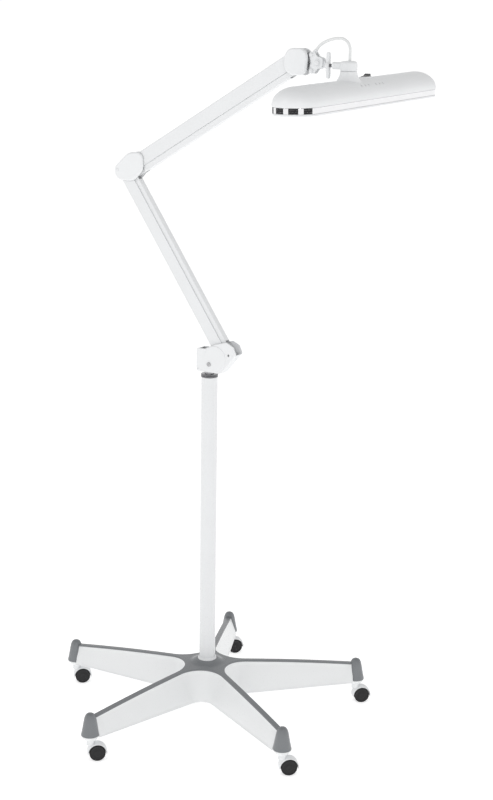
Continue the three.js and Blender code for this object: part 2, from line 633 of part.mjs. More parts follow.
function buildHeadJoint() {
  const block = cylinderY(9, -CORE_HALF_WIDTH, CORE_HALF_WIDTH, [0, 0], 24)
    .add(box([0, -CORE_HALF_WIDTH, -STUD_DROP - 4.5], [16, CORE_HALF_WIDTH, 3]))
    .subtract(cylinderY(PIN_R + 0.15, -20, 20, [0, 0], 12))
    .subtract(cylinderX(STUD_R + 0.1, 8, 20, 0, -STUD_DROP, 16));
  node("tilt_block", block, WHITE_METAL, tilting);
  node("stud", cylinderX(STUD_R, 8.2, 50, 0, -STUD_DROP, 16), CHROME, tilting);

  // wing nut: a hub and two lobes
  const lobeCorners = [[17, 0, 0.5], [23, 0, 0.5], [25, 15, 3], [24, 25, 2.9], [18, 25, 2.9], [16.5, 12, 3]];
  const lobe = plateY(rounded(lobeCorners), -4, 4);
  const nut = cylinderX(7.5, 16.6, 24, 0, 0, 20)
    .add(lobe)
    .add(lobe.mirror([0, 0, 1]))
    .subtract(cylinderX(STUD_R + 0.3, 10, 30, 0, 0, 16));
  const nutGroup = group(tilting, 0, 0, -STUD_DROP);
  node("wing_nut", nut, WHITE_METAL, nutGroup);

  const tube = cylinderX(7, 31, SWIVEL_X - 8, 0, 0, 24);
  const barrel = revolve([[0, -9.5], [15.5, -9.5], [BARREL_R, -7.5], [BARREL_R, 6.5], [14, BARREL_HALF_HEIGHT],
    [0, BARREL_HALF_HEIGHT]], 24).translate([SWIVEL_X, 0, 0]);
  const swivel = tube.add(barrel)
    .subtract(cylinderX(STUD_R + 0.3, 28, 50.5, 0, 0, 16))
    .subtract(cylinderZ(8.4, -12, 3, SWIVEL_X, 0, 24));
  node("head_swivel", swivel, WHITE, rolling);
}

// closed solid of round-ended rings, each [half width, height]; all share the straight middle length
function roundEnded(rings, endSteps = 14) {
  const straight = (HEAD_LENGTH - HEAD_WIDTH) / 2;
  const ring = ([r, z]) => {
    const points = [];
    for (const [middle, start] of [[straight, 0], [-straight, Math.PI]]) {
      for (let k = 0; k <= endSteps; k++) {
        const a = start + (Math.PI * k) / endSteps;
        points.push([r * Math.cos(a), middle + r * Math.sin(a), z]);
      }
    }
    return points;
  };
  const all = rings.map(ring);
  const count = all[0].length;
  const faces = [];
  for (let level = 0; level + 1 < all.length; level++) {
    for (let i = 0; i < count; i++) {
      const a = level * count + i;
      const b = level * count + ((i + 1) % count);
      faces.push(a, b, b + count, a, b + count, a + count);
    }
  }
  const last = (all.length - 1) * count;
  for (let i = 1; i + 1 < count; i++) {
    faces.push(0, i + 1, i);
    faces.push(last, last + i, last + i + 1);
  }
  const geometry = new THREE.BufferGeometry();
  geometry.setAttribute("position", new THREE.Float32BufferAttribute(all.flat(2), 3));
  geometry.setIndex(faces);
  return solidOf(geometry);
}

// dome: quarter ellipse from the shell's edge up to the ridge
function domeRings(halfWidth, bottom, top, steps) {
  const rings = [[halfWidth, bottom]];
  for (let k = 1; k <= steps; k++) {
    const a = (k / steps) * deg(84);
    rings.push([halfWidth * Math.cos(a), bottom + 2 + (top - bottom - 2) * Math.sin(a)]);
  }
  return rings;
}

function buildHead() {
  const half = HEAD_WIDTH / 2;
  const shellHalf = half + SHELL_OVERHANG;
  const outer = roundEnded(domeRings(shellHalf, RIM_TOP, HEAD_HEIGHT, 8));
  const innerHalf = shellHalf - SHELL_WALL;
  const inner = roundEnded([
    [innerHalf, RIM_TOP - 1],
    ...domeRings(innerHalf, RIM_TOP, HEAD_HEIGHT - SHELL_WALL, 6),
  ]);
  const top = HEAD_HEIGHT + PEDESTAL_HEIGHT;
  const ridge = HEAD_HEIGHT;
  const pedestalProfile = [[0, ridge - 9], [25, ridge - 9], [24.4, ridge - 4], [21, ridge + 2],
    [18.4, ridge + 8], [16.8, top], [8, top], [8, top + 11], [0, top + 11]];
  const pedestal = revolve(pedestalProfile, 24).translate([0, PEDESTAL_OFFSET, 0]);
  const switchY = PEDESTAL_OFFSET + SWITCH_FROM_PEDESTAL;
  const switchHole = box([-7.8, switchY - 12.2, 36], [7.8, switchY + 12.2, 70]);
  const cableWay = cylinderZ(3, 40, top + 20, 0, PEDESTAL_OFFSET, 12);
  node("head_shell", outer.subtract(inner).add(pedestal).subtract(switchHole).subtract(cableWay), WHITE, head);

  const ringBetween = (r, hole, z0, z1) =>
    roundEnded([[r, z0], [r, z1]]).subtract(roundEnded([[hole, z0 - 1], [hole, z1 + 1]]));
  node("rim_band", ringBetween(half, half - 1.6, FRAME_HEIGHT + GAP, RIM_TOP - GAP), CHROME, head);
  node("bottom_frame", ringBetween(half, half - 6, 0, FRAME_HEIGHT), WHITE, head);
  node("diffuser", roundEnded([[half - 6.4, 1], [half - 6.4, 4]]), DIFFUSER, head);
  node("led_board", roundEnded([[half - 10, 12], [half - 10, 14]]), BOARD, head);

  const bezelTop = HEAD_HEIGHT + 2;
  const bezel = box([-9, switchY - 13.5, HEAD_HEIGHT + GAP], [9, switchY + 13.5, bezelTop])
    .add(box([-7.5, switchY - 11.9, HEAD_HEIGHT - 12], [7.5, switchY + 11.9, HEAD_HEIGHT + 1]))
    .subtract(box([-6.5, switchY - 10.8, HEAD_HEIGHT - 10], [6.5, switchY + 10.8, bezelTop + 1]));
  node("switch_bezel", bezel, WHITE, head);
  // rocker: a shallow V seen from the side, tipping about X across its middle
  const z = HEAD_HEIGHT;
  const side = [[-10, z + 0.4], [-7.4, z - 6], [7.4, z - 6], [10, z + 2], [9.2, z + 7.6], [0, z + 3.4],
    [-9.6, z + 2.8]];
  const shape = new THREE.Shape(side.map(([y, h]) => new THREE.Vector2(y, h)));
  const geometry = new THREE.ExtrudeGeometry(shape, { depth: 12.4, bevelEnabled: false });
  geometry.rotateX(Math.PI / 2).rotateZ(Math.PI / 2).translate(-6.2, switchY, 0);
  node("rocker", solidOf(geometry), BLACK, head);
}

// ---------------------------------------------------------------- jumper cable
// from the arm end's core plate up and over into the top of the swivel barrel
const CABLE_R = 2.8;
const cableRoute = [
  [-5.5, 24.9],
  [-1, 30.6],
  [5, 35.6],
  [12.4, 39.6],
  [20.5, 42.8],
  [28.7, 45.2],
  [37, 46.6],
  [45.2, 46.8],
  [50.9, 46.1],
  [56.2, 43.9],
  [60.8, 40.4],
  [64.3, 35.8],
  [66.5, 30.5],
  [67.2, 24.8],
  [67.2, 15],
  [67.2, 5.4],
];

function buildCable() {
  const [kx, kz] = tiltPivot;
  const points = cableRoute.map(([x, z]) => new THREE.Vector3(kx + x, 0, kz + z));
  const curve = new THREE.CatmullRomCurve3(points);
  const sides = 8;
  const shape = new THREE.Shape(
    Array.from({ length: sides }, (_, i) => {
      const a = (2 * Math.PI * i) / sides;
      return new THREE.Vector2(CABLE_R * Math.cos(a), CABLE_R * Math.sin(a));
    }),
  );
  const options = { steps: 26, extrudePath: curve, bevelEnabled: false };
  const geometry = new THREE.ExtrudeGeometry(shape, options);
  node("jumper_cable", solidOf(geometry), WHITE);
  const gland = revolve([[0, 0], [4.2, 0], [4.2, 3], [3.4, 6], [0, 6]], 16)
    .rotate([0, 36.9, 0])
    .translate([kx - 9.3, 0, kz + 19.9]);
  node("cable_gland", gland, WHITE);
}

buildBase();
legAngles.forEach((angle, i) => buildCastor("castor_" + (i + 1), angle));
buildPole();
buildBracket();
buildArm("lower", BRACKET_PIVOT, LOWER_ANGLE, LOWER_CHANNEL_HEIGHT, LOWER_LINK_OFFSET, false);
buildElbow();
buildArm("upper", upperElbow, UPPER_ANGLE, UPPER_CHANNEL_HEIGHT, UPPER_LINK_OFFSET, true);
buildArmEnd();
buildHeadJoint();
buildHead();
buildCable();
root.position.copy(FOOTPRINT_SHIFT);

export default root;
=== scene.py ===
import json
import math

import bmesh
import bpy
from mathutils import Matrix, Vector


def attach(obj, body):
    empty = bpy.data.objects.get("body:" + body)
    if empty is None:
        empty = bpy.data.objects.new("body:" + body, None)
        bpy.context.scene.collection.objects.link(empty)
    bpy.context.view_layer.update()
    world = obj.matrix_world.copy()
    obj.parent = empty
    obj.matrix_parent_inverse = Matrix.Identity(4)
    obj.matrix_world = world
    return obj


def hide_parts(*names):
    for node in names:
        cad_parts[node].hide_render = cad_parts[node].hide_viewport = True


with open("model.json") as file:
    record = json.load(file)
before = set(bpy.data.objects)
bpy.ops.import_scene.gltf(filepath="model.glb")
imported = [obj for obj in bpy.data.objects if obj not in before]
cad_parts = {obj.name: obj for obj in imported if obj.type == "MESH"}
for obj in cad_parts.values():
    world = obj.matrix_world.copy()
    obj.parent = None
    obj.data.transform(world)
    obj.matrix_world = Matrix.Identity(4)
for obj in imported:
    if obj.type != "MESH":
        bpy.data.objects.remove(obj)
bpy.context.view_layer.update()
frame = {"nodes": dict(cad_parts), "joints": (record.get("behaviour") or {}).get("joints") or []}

# Looks for the pharmacy floor lamp. Pieces are built in millimetres in the local frame of the body
# they belong to, and then placed in metres by that frame's matrix.
MM = 0.001
JOINTS = {joint["name"]: joint for joint in frame["joints"]}
UP = Vector((0, 0, 1))
ACROSS = Vector((0, 1, 0))
LEGS = 5


# ---- local frames
def joint_place(name):
    return Vector(JOINTS[name]["pos_m"])


def joint_axis(name):
    return Vector(JOINTS[name]["axis"])


def local_frame(origin, x=(1, 0, 0), z=UP):
    """Matrix from millimetres in a local frame to metres in the shared frame."""
    x = Vector(x).normalized()
    z = Vector(z).normalized()
    turn = Matrix((x, z.cross(x), z)).transposed().to_4x4()
    return Matrix.Translation(origin) @ turn @ Matrix.Diagonal((MM, MM, MM, 1))


def between(first, second, origin=None):
    """Frame with x from one joint to another, in the arms' plane."""
    x = (joint_place(second) - joint_place(first)).normalized()
    return local_frame(joint_place(origin or first), x, x.cross(ACROSS))


def on_floor(point):
    return Vector((point.x, point.y, 0))


POLE = local_frame(on_floor(joint_place("arm_turn")))
LOWER_ARM = between("lower_arm_lean", "elbow_level")
LOWER_LINK = between("lower_arm_lean", "elbow_level", "lower_link_lean")
UPPER_ARM = between("upper_arm_swing", "arm_end_level")
UPPER_LINK = between("upper_arm_swing", "arm_end_level", "upper_link_swing")
ELBOW = local_frame(joint_place("elbow_level"))
ARM_END = local_frame(joint_place("arm_end_level"))
KNUCKLE = local_frame(joint_place("head_tilt"))
TILT_X = joint_axis("wing_nut_turn")
TILT = local_frame(joint_place("head_tilt"), TILT_X, TILT_X.cross(ACROSS))
HEAD_UP = joint_axis("head_turn")
HEAD_X = joint_axis("head_roll")
SWIVEL = local_frame(joint_place("head_turn"), HEAD_X, HEAD_UP)
# the head's own frame stands at the middle of its underside
PEDESTAL_FROM_MIDDLE = 47
SWIVEL_HEIGHT = 77.8
HEAD = SWIVEL @ Matrix.Translation((0, PEDESTAL_FROM_MIDDLE, -SWIVEL_HEIGHT))


def leg_angle(i):
    step = joint_place(f"castor_{i}_swivel") - joint_place("arm_turn")
    return math.atan2(step.y, step.x)


def castor_frame(i):
    axle = joint_axis(f"castor_{i}_roll")
    return local_frame(on_floor(joint_place(f"castor_{i}_swivel")), (axle.y, -axle.x, 0))


def new_object(name, data):
    made = bpy.data.objects.new(name, data)
    bpy.context.collection.objects.link(made)
    return made


# ---- camera
CAMERA_PLACE = (1.6956, -2.7095, 1.4755)
CAMERA_AZIMUTH = math.radians(30.593)
CAMERA_DOWN = math.radians(13.405)
CAMERA_ROLL = math.radians(0.816)
CAMERA_LENS = 69.475
SENSOR_WIDTH = 36


def make_camera():
    data = bpy.data.cameras.new("camera")
    data.lens = CAMERA_LENS
    data.sensor_width = SENSOR_WIDTH
    camera = new_object("camera", data)
    camera.matrix_world = (
        Matrix.Translation(CAMERA_PLACE)
        @ Matrix.Rotation(CAMERA_AZIMUTH, 4, "Z")
        @ Matrix.Rotation(math.radians(90) - CAMERA_DOWN, 4, "X")
        @ Matrix.Rotation(CAMERA_ROLL, 4, "Z")
    )
    bpy.context.scene.camera = camera


# ---- materials
COAT_ROUGHNESS = 0.12


def set_inputs(node, values):
    for name, value in values.items():
        node.inputs[name].default_value = value
    return node


def surface(name, color, roughness, metallic=0.0, coat=0.0, grain=1500, depth=0.02, strength=0.3,
            tint=0.03, rough_spread=0.06, patch=9, stretch=(1, 1, 1)):
    """A procedural finish: fine relief, and slow drifts of colour and roughness. Depth is in mm."""
    made = bpy.data.materials.new(name)
    made.use_nodes = True
    nodes = made.node_tree.nodes
    links = made.node_tree.links
    shader = set_inputs(nodes["Principled BSDF"], {
        "Metallic": metallic, "Coat Weight": coat, "Coat Roughness": COAT_ROUGHNESS})
    place = nodes.new("ShaderNodeTexCoord")
    mapping = set_inputs(nodes.new("ShaderNodeMapping"), {"Scale": stretch})
    links.new(place.outputs["Object"], mapping.inputs["Vector"])

    fine = set_inputs(nodes.new("ShaderNodeTexNoise"), {"Scale": grain, "Detail": 3})
    links.new(mapping.outputs["Vector"], fine.inputs["Vector"])
    bump = set_inputs(nodes.new("ShaderNodeBump"), {"Strength": strength, "Distance": depth * MM})
    links.new(fine.outputs["Fac"], bump.inputs["Height"])
    links.new(bump.outputs["Normal"], shader.inputs["Normal"])

    slow = set_inputs(nodes.new("ShaderNodeTexNoise"), {"Scale": patch, "Detail": 4})
    links.new(place.outputs["Object"], slow.inputs["Vector"])
    tone = nodes.new("ShaderNodeMix")
    tone.data_type = "RGBA"
    set_inputs(tone, {
        "A": (*(c * (1 - tint) for c in color), 1),
        "B": (*(min(1, c * (1 + tint)) for c in color), 1)})
    links.new(slow.outputs["Fac"], tone.inputs["Factor"])
    links.new(tone.outputs["Result"], shader.inputs["Base Color"])
    spread = set_inputs(nodes.new("ShaderNodeMapRange"), {
        "From Min": 0.3, "From Max": 0.7,
        "To Min": roughness - rough_spread, "To Max": roughness + rough_spread})
    links.new(fine.outputs["Fac"], spread.inputs["Value"])
    links.new(spread.outputs["Result"], shader.inputs["Roughness"])
    return made


def make_finishes():
    return {
        "white_base": surface(
            "white enamel", (0.84, 0.85, 0.855), 0.32, coat=0.25, grain=420, depth=0.03),
        "white_metal": surface(
            "satin white paint", (0.80, 0.81, 0.82), 0.30, coat=0.3, grain=520, depth=0.02),
        "white_plastic": surface(
            "satin white moulding", (0.83, 0.84, 0.85), 0.36, grain=2600, depth=0.015),
        "grey_plastic": surface(
            "mid-grey moulding", (0.20, 0.21, 0.22), 0.24, grain=2400, depth=0.015, tint=0.05),
        "wheel_black": surface(
            "matt black wheel", (0.007, 0.007, 0.008), 0.6, grain=1500, depth=0.05, tint=0.3),
        "switch_black": surface(
            "gloss black", (0.010, 0.010, 0.011), 0.22, grain=2400, depth=0.008, coat=0.3),
        "chrome_trim": surface(
            "polished chrome", (0.80, 0.80, 0.81), 0.09, metallic=1, grain=900, depth=0.004,
            rough_spread=0.03, stretch=(1, 1, 6)),
        "zinc_steel": surface(
            "zinc plate", (0.50, 0.50, 0.51), 0.34, metallic=1, grain=700, depth=0.02, tint=0.08,
            rough_spread=0.08, stretch=(1, 5, 1)),
        "diffuser": surface(
            "frosted acrylic", (0.90, 0.92, 0.92), 0.5, grain=1300, depth=0.08, strength=0.6),
        "board": surface("white solder mask", (0.82, 0.83, 0.82), 0.4, grain=900),
        "cable_sheath": surface("white sheath", (0.80, 0.81, 0.81), 0.42, grain=1800, depth=0.02),
        # chrome darkened and streaked: painted dark reflections, used on the top collar and the stud
        "chrome_painted_reflection": surface(
            "chrome with painted dark reflections", (0.22, 0.22, 0.23), 0.10, metallic=1, grain=260, depth=0.05, tint=0.5,
            rough_spread=0.05, stretch=(1, 1, 4)),
        # near-black streaked finish for the segments on the chrome band: painted dark reflections
        "painted_band_reflection": surface(
            "painted dark band reflections", (0.02, 0.02, 0.022), 0.2, metallic=0.6, grain=160, depth=0.1,
            tint=0.4, rough_spread=0.1, stretch=(0.2, 0.2, 8)),
    }


# ---- outlines
def corner_at(corners, i):
    """A corner's place, the ways to its neighbours, half its angle, and the way it turns."""
    here = Vector(corners[i][:2])
    before = (Vector(corners[i - 1][:2]) - here).normalized()
    after = (Vector(corners[(i + 1) % len(corners)][:2]) - here).normalized()
    half = math.acos(max(-1, min(1, before.dot(after)))) / 2
    return here, before, after, half, math.copysign(1, after.cross(before))


def rounded(corners, steps=8):
    """Outline of a polygon whose corners (x, z, radius) are rounded; corners run anticlockwise."""
    outline = []
    for i in range(len(corners)):
        here, before, after, half, turn = corner_at(corners, i)
        r = corners[i][2]
        centre = here + (before + after).normalized() * (r / math.sin(half))
        start = here + before * (r / math.tan(half)) - centre
        first = math.atan2(start.y, start.x)
        for k in range(steps + 1):
            a = first + (math.pi - 2 * half) * turn * k / steps
            outline.append((centre.x + r * math.cos(a), centre.y + r * math.sin(a)))
    return outline


LEAST_CORNER = 0.3


def inset(corners, distance):
    """The same corners, with the outline pulled in by a distance."""
    pulled = []
    for i in range(len(corners)):
        here, before, after, half, turn = corner_at(corners, i)
        moved = here + (before + after).normalized() * (turn * distance / math.sin(half))
        pulled.append((moved.x, moved.y, max(corners[i][2] - turn * distance, LEAST_CORNER)))
    return pulled


def bar_corners(start, end, half_height, end_radius):
    r = min(end_radius, half_height)
    return [
        (start - end_radius, -half_height, r),
        (end + end_radius, -half_height, r),
        (end + end_radius, half_height, r),
        (start - end_radius, half_height, r),
    ]


def smooth(t):
    t = max(0, min(1, t))
    return t * t * (3 - 2 * t)


def mix(a, b, t):
    return a + (b - a) * t


# ---- solids
def solid(verts, faces):
    """A mesh object from vertices and faces, merged and with its faces turned outwards."""
    mesh = bpy.data.meshes.new("solid")
    mesh.from_pydata([tuple(v) for v in verts], [], faces)
    work = bmesh.new()
    work.from_mesh(mesh)
    bmesh.ops.remove_doubles(work, verts=work.verts, dist=1e-4)
    bmesh.ops.recalc_face_normals(work, faces=work.faces)
    work.to_mesh(mesh)
    work.free()
    return new_object("solid", mesh)


def ring_faces(lower, upper, count):
    """Faces between two rings of vertices, which start at lower and at upper."""
    faces = []
    for i in range(count):
        j = (i + 1) % count
        faces.append((lower + i, lower + j, upper + j, upper + i))
    return faces


def loft(rings, wrap=False):
    """Joins rings of equal length. The ends are closed, or joined to each other with wrap."""
    count = len(rings[0])
    faces = []
    for level in range(len(rings) if wrap else len(rings) - 1):
        faces += ring_faces(level * count, ((level + 1) % len(rings)) * count, count)
    if not wrap:
        faces.append(tuple(range(count)))
        faces.append(tuple((len(rings) - 1) * count + i for i in range(count)))
    return solid([p for ring in rings for p in ring], faces)


def around(steps):
    return [2 * math.pi * k / steps for k in range(steps)]


# reach of a tool that cuts right through a piece
THROUGH = (-20, 20)
AXES = {
    "X": lambda c, s, h: (h, c, s),
    "Y": lambda c, s, h: (c, h, s),
    "Z": lambda c, s, h: (c, s, h),
}


def lathe(profile, axis="Z", at=(0, 0, 0), steps=64, wrap=False):
    """Solid of revolution about an axis; the profile is (radius, height)."""
    place = AXES[axis]
    rings = []
    at = Vector(at)
    for r, h in profile:
        rings.append([at + Vector(place(r * math.cos(a), r * math.sin(a), h)) for a in around(steps)])
    return loft(rings, wrap)


def rod(r, start, end, axis="Z", at=(0, 0, 0), steps=48, edge=0.0):
    """A cylinder, with its edges eased if edge is given."""
    if not edge:
        return lathe([(r, start), (r, end)], axis, at, steps)
    sign = math.copysign(1, end - start)
    profile = [(r - edge, start), (r - 0.3 * edge, start + 0.3 * edge * sign), (r, start + edge * sign),
               (r, end - edge * sign), (r - 0.3 * edge, end - 0.3 * edge * sign), (r - edge, end)]
    return lathe(profile, axis, at, steps)


def mirrored(profile):
    """The mirror image of a profile of (radius, height), in the opposite order."""
    return [(r, -h) for r, h in reversed(profile)]


def block(low, high):
    (x0, y0, z0), (x1, y1, z1) = low, high
    return loft([[(x, y0, z0), (x, y1, z0), (x, y1, z1), (x, y0, z1)] for x in (x0, x1)])


def plate(outline, y0, y1):
    """An outline in the XZ plane, extruded along Y."""
    return loft([[(x, y, z) for x, z in outline] for y in (y0, y1)])


def pillow(corners, levels, side=1, steps=8):
    """A plate whose outline is pulled in from level to level; each level is (inset, y)."""
    rings = []
    for distance, y in levels:
        outline = rounded(inset(corners, distance), steps)
        rings.append([(x, side * y, z) for x, z in outline])
    return loft(rings)


def edge_levels(start, end, radius, steps=5):
    """Levels from a square edge at start to an edge rounded by a radius at end."""
    sign = math.copysign(1, end - start)
    levels = [(0, start)]
    for k in range(steps + 1):
        a = math.radians(90) * k / steps
        levels.append((radius * (1 - math.cos(a)), end - sign * radius * (1 - math.sin(a))))
    return levels


def bake(piece):
    """Applies a piece's modifiers to its mesh."""
    graph = bpy.context.evaluated_depsgraph_get()
    mesh = bpy.data.meshes.new_from_object(piece.evaluated_get(graph))
    piece.modifiers.clear()
    piece.data = mesh


def combine(piece, tools, operation):
    for tool in tools:
        modifier = piece.modifiers.new("boolean", "BOOLEAN")
        modifier.operation = operation
        modifier.solver = "EXACT"
        modifier.object = tool
        bake(piece)
        bpy.data.objects.remove(tool)
    return piece


def add(piece, *tools):
    return combine(piece, tools, "UNION")


def cut(piece, *tools):
    return combine(piece, tools, "DIFFERENCE")


def keep(piece, *tools):
    return combine(piece, tools, "INTERSECT")


def together(*parts):
    """Several separate solids as one object."""
    work = bmesh.new()
    for part in parts:
        work.from_mesh(part.data)
        bpy.data.objects.remove(part)
    mesh = bpy.data.meshes.new("together")
    work.to_mesh(mesh)
    work.free()
    return new_object("together", mesh)


def duplicate(piece):
    return new_object(piece.name, piece.data.copy())


def sweep(points, radius, sides=8):
    """A round tube along points, its section carried along without twisting."""
    points = [Vector(p) for p in points]
    side = (points[1] - points[0]).orthogonal().normalized()
    rings = []
    for i, point in enumerate(points):
        ahead = (points[min(i + 1, len(points) - 1)] - points[max(i - 1, 0)]).normalized()
        side = (side - ahead * side.dot(ahead)).normalized()
        other = ahead.cross(side)
        rings.append([point + (side * math.cos(a) + other * math.sin(a)) * radius for a in around(sides)])
    return loft(rings)


def ease_edges(piece, width, segments=3, angle=35):
    bevel = piece.modifiers.new("bevel", "BEVEL")
    bevel.width = width * MM
    bevel.segments = segments
    bevel.limit_method = "ANGLE"
    bevel.angle_limit = math.radians(angle)
    bevel.harden_normals = True


def finish_piece(piece, name, place, body, slot, stands_for=(), bevel=0.0, sharp=38, look=None):
    """Names, places, smooths, paints and mounts a piece."""
    piece.name = name
    piece.data.name = name
    piece.data.transform(place)
    piece.data.shade_smooth()
    piece.data.set_sharp_from_angle(angle=math.radians(sharp))
    if bevel:
        ease_edges(piece, bevel)
    piece.modifiers.new("normals", "WEIGHTED_NORMAL").keep_sharp = True
    piece.data.materials.clear()
    piece.data.materials.append(FINISHES[look or slot])
    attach(piece, body)
    if stands_for:
        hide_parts(*stands_for)
    return piece


# ---- jumper cable
CABLE_ROUTE = [
    (-5.5, 24.9), (-1, 30.6), (5, 35.6), (12.4, 39.6), (20.5, 42.8), (28.7, 45.2), (37, 46.6),
    (45.2, 46.8), (50.9, 46.1), (56.2, 43.9), (60.8, 40.4), (64.3, 35.8), (66.5, 30.5), (67.2, 24.8),
    (67.2, 15), (67.2, 5.4),
]
CABLE_DIAMETER = 5.6


def make_cable():
    data = bpy.data.curves.new("jumper_cable_loop", "CURVE")
    data.dimensions = "3D"
    data.bevel_depth = CABLE_DIAMETER / 2 * MM
    data.bevel_resolution = 5
    data.use_fill_caps = True
    data.resolution_u = 8
    spline = data.splines.new("BEZIER")
    spline.bezier_points.add(len(CABLE_ROUTE) - 1)
    for point, (x, z) in zip(spline.bezier_points, CABLE_ROUTE):
        point.co = KNUCKLE @ Vector((x, 0, z))
        point.handle_left_type = "AUTO"
        point.handle_right_type = "AUTO"
    data.materials.append(FINISHES["cable_sheath"])
    cable = new_object("jumper_cable_loop", data)
    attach(cable, "arm_end")
    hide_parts("jumper_cable")


GLAND_FOOT = (-9.3, 0, 19.9)
GLAND_LEAN = math.radians(36.9)


def build_cable_gland():
    """A ribbed strain relief where the cable leaves the arm end."""
    profile = [(0, 0), (4.2, 0), (4.2, 2.6), (4.0, 2.9)]
    for k in range(3):
        low = 3.0 + 0.95 * k
        profile += [(3.7 - 0.1 * k, low + 0.1), (3.7 - 0.1 * k, low + 0.55), (3.45 - 0.1 * k, low + 0.65),
                    (3.45 - 0.1 * k, low + 0.9)]
    profile += [(3.2, 5.95), (2.9, 6.1), (0, 6.1)]
    gland = lathe(profile, steps=32)
    lean = Matrix.Translation(GLAND_FOOT) @ Matrix.Rotation(GLAND_LEAN, 4, "Y")
    finish_piece(gland, "cable_gland_relief", KNUCKLE @ lean, "arm_end", "white_plastic", ["cable_gland"])


# ---- base
STEM_CIRCLE_R = 340
LEG_TIP = 330
COVER_THICKNESS = 3
POLE_R = 17.5
FILLET_STEPS = 16
# stations along a leg as parts of the way from its tip to the fillet, close where the panel ends
LEG_STATIONS = (0, 0.045, 0.055, 0.065, 0.08, 0.12, 0.25, 0.4, 0.55, 0.7, 0.85)


def leg_top(r):
    return 121.5 - 0.045 * r - 0.00011 * r * r


def leg_bottom(r):
    return 40 + 0.036 * r


def star_outline(half, fillet, tip=LEG_TIP, dent=None):
    """Outline of the five-legged star. Dent gives the inset at each station and along the fillet."""
    step = 2 * math.pi / LEGS
    outline = []

    def shape(inward):
        centre = (half + fillet) / math.sin(step / 2)
        return half - inward, fillet + inward, centre, centre * math.cos(step / 2)

    for i in range(1, LEGS + 1):
        angle = leg_angle(i)
        for t in LEG_STATIONS:
            width, _, _, tangent = shape(dent(t) if dent else 0)
            outline.append(turned(mix(tip, tangent, t), width, angle))
        _, radius, centre, _ = shape(dent(1) if dent else 0)
        for k in range(FILLET_STEPS + 1):
            a = angle - math.pi / 2 - (math.pi - step) * k / FILLET_STEPS
            middle = angle + step / 2
            outline.append((centre * math.cos(middle) + radius * math.cos(a),
                            centre * math.sin(middle) + radius * math.sin(a)))
        for t in reversed(LEG_STATIONS):
            width, _, _, tangent = shape(dent(t) if dent else 0)
            outline.append(turned(mix(tip, tangent, t), -width, angle + step))
    return outline


def turned(x, across, angle):
    return (x * math.cos(angle) - across * math.sin(angle), x * math.sin(angle) + across * math.cos(angle))


def lifted(outline, height):
    return [(x, y, height(math.hypot(x, y))) for x, y in outline]


def star_strips(first, count):
    """Faces across each leg of a star-shaped ring, and the loop round its hub."""
    per_leg = count // LEGS
    stations = len(LEG_STATIONS)
    faces = []
    loop = []
    for i in range(LEGS):
        left = i * per_leg
        right = (left + count - 1) % count
        for k in range(stations):
            faces.append((first + left + k, first + left + k + 1, first + right - k - 1, first + right - k))
        loop += [first + left + stations + k for k in range(FILLET_STEPS + 1)]
    return faces, loop


def star_solid(rings, hub_radii, hub_height_top, hub_height_bottom):
    """A star from rings run bottom to top, its hub closed by circles down to a round hole."""
    count = len(rings[0])
    verts = [Vector(p) for ring in rings for p in ring]
    faces = []
    for level in range(len(rings) - 1):
        faces += ring_faces(level * count, (level + 1) * count, count)
    inner = []
    for first, height in ((0, hub_height_bottom), ((len(rings) - 1) * count, hub_height_top)):
        strips, loop = star_strips(first, count)
        faces += strips
        angles = [math.atan2(verts[i].y, verts[i].x) for i in loop]
        for r in hub_radii:
            ring = list(range(len(verts), len(verts) + len(loop)))
            verts += [Vector((r * math.cos(a), r * math.sin(a), height(r))) for a in angles]
            for k in range(len(loop)):
                j = (k + 1) % len(loop)
                faces.append((loop[k], loop[j], ring[j], ring[k]))
            loop = ring
        inner.append(loop)
    for k in range(len(inner[0])):
        j = (k + 1) % len(inner[0])
        faces.append((inner[0][k], inner[0][j], inner[1][j], inner[1][k]))
    return solid(verts, faces)


def blended(lower, upper, s, low, high):
    """Ring between a lower and an upper outline, at a part s of the height."""
    ring = []
    for (x0, y0), (x1, y1) in zip(lower, upper):
        z = mix(low(math.hypot(x0, y0)), high(math.hypot(x1, y1)), s)
        ring.append((mix(x0, x1, s), mix(y0, y1, s), z))
    return ring


PANEL_DEPTH = 0.8
# half width of a leg and radius of the fillet between legs, at the star's lower and upper edges
SIDE_FOOT = (19, 25)
SIDE_BROW = (5.5, 57)
CAVITY_FOOT = (16, 28)
CAVITY_BROW = (3.5, 59)
CAVITY_TIP = 312
HUB_R = 50


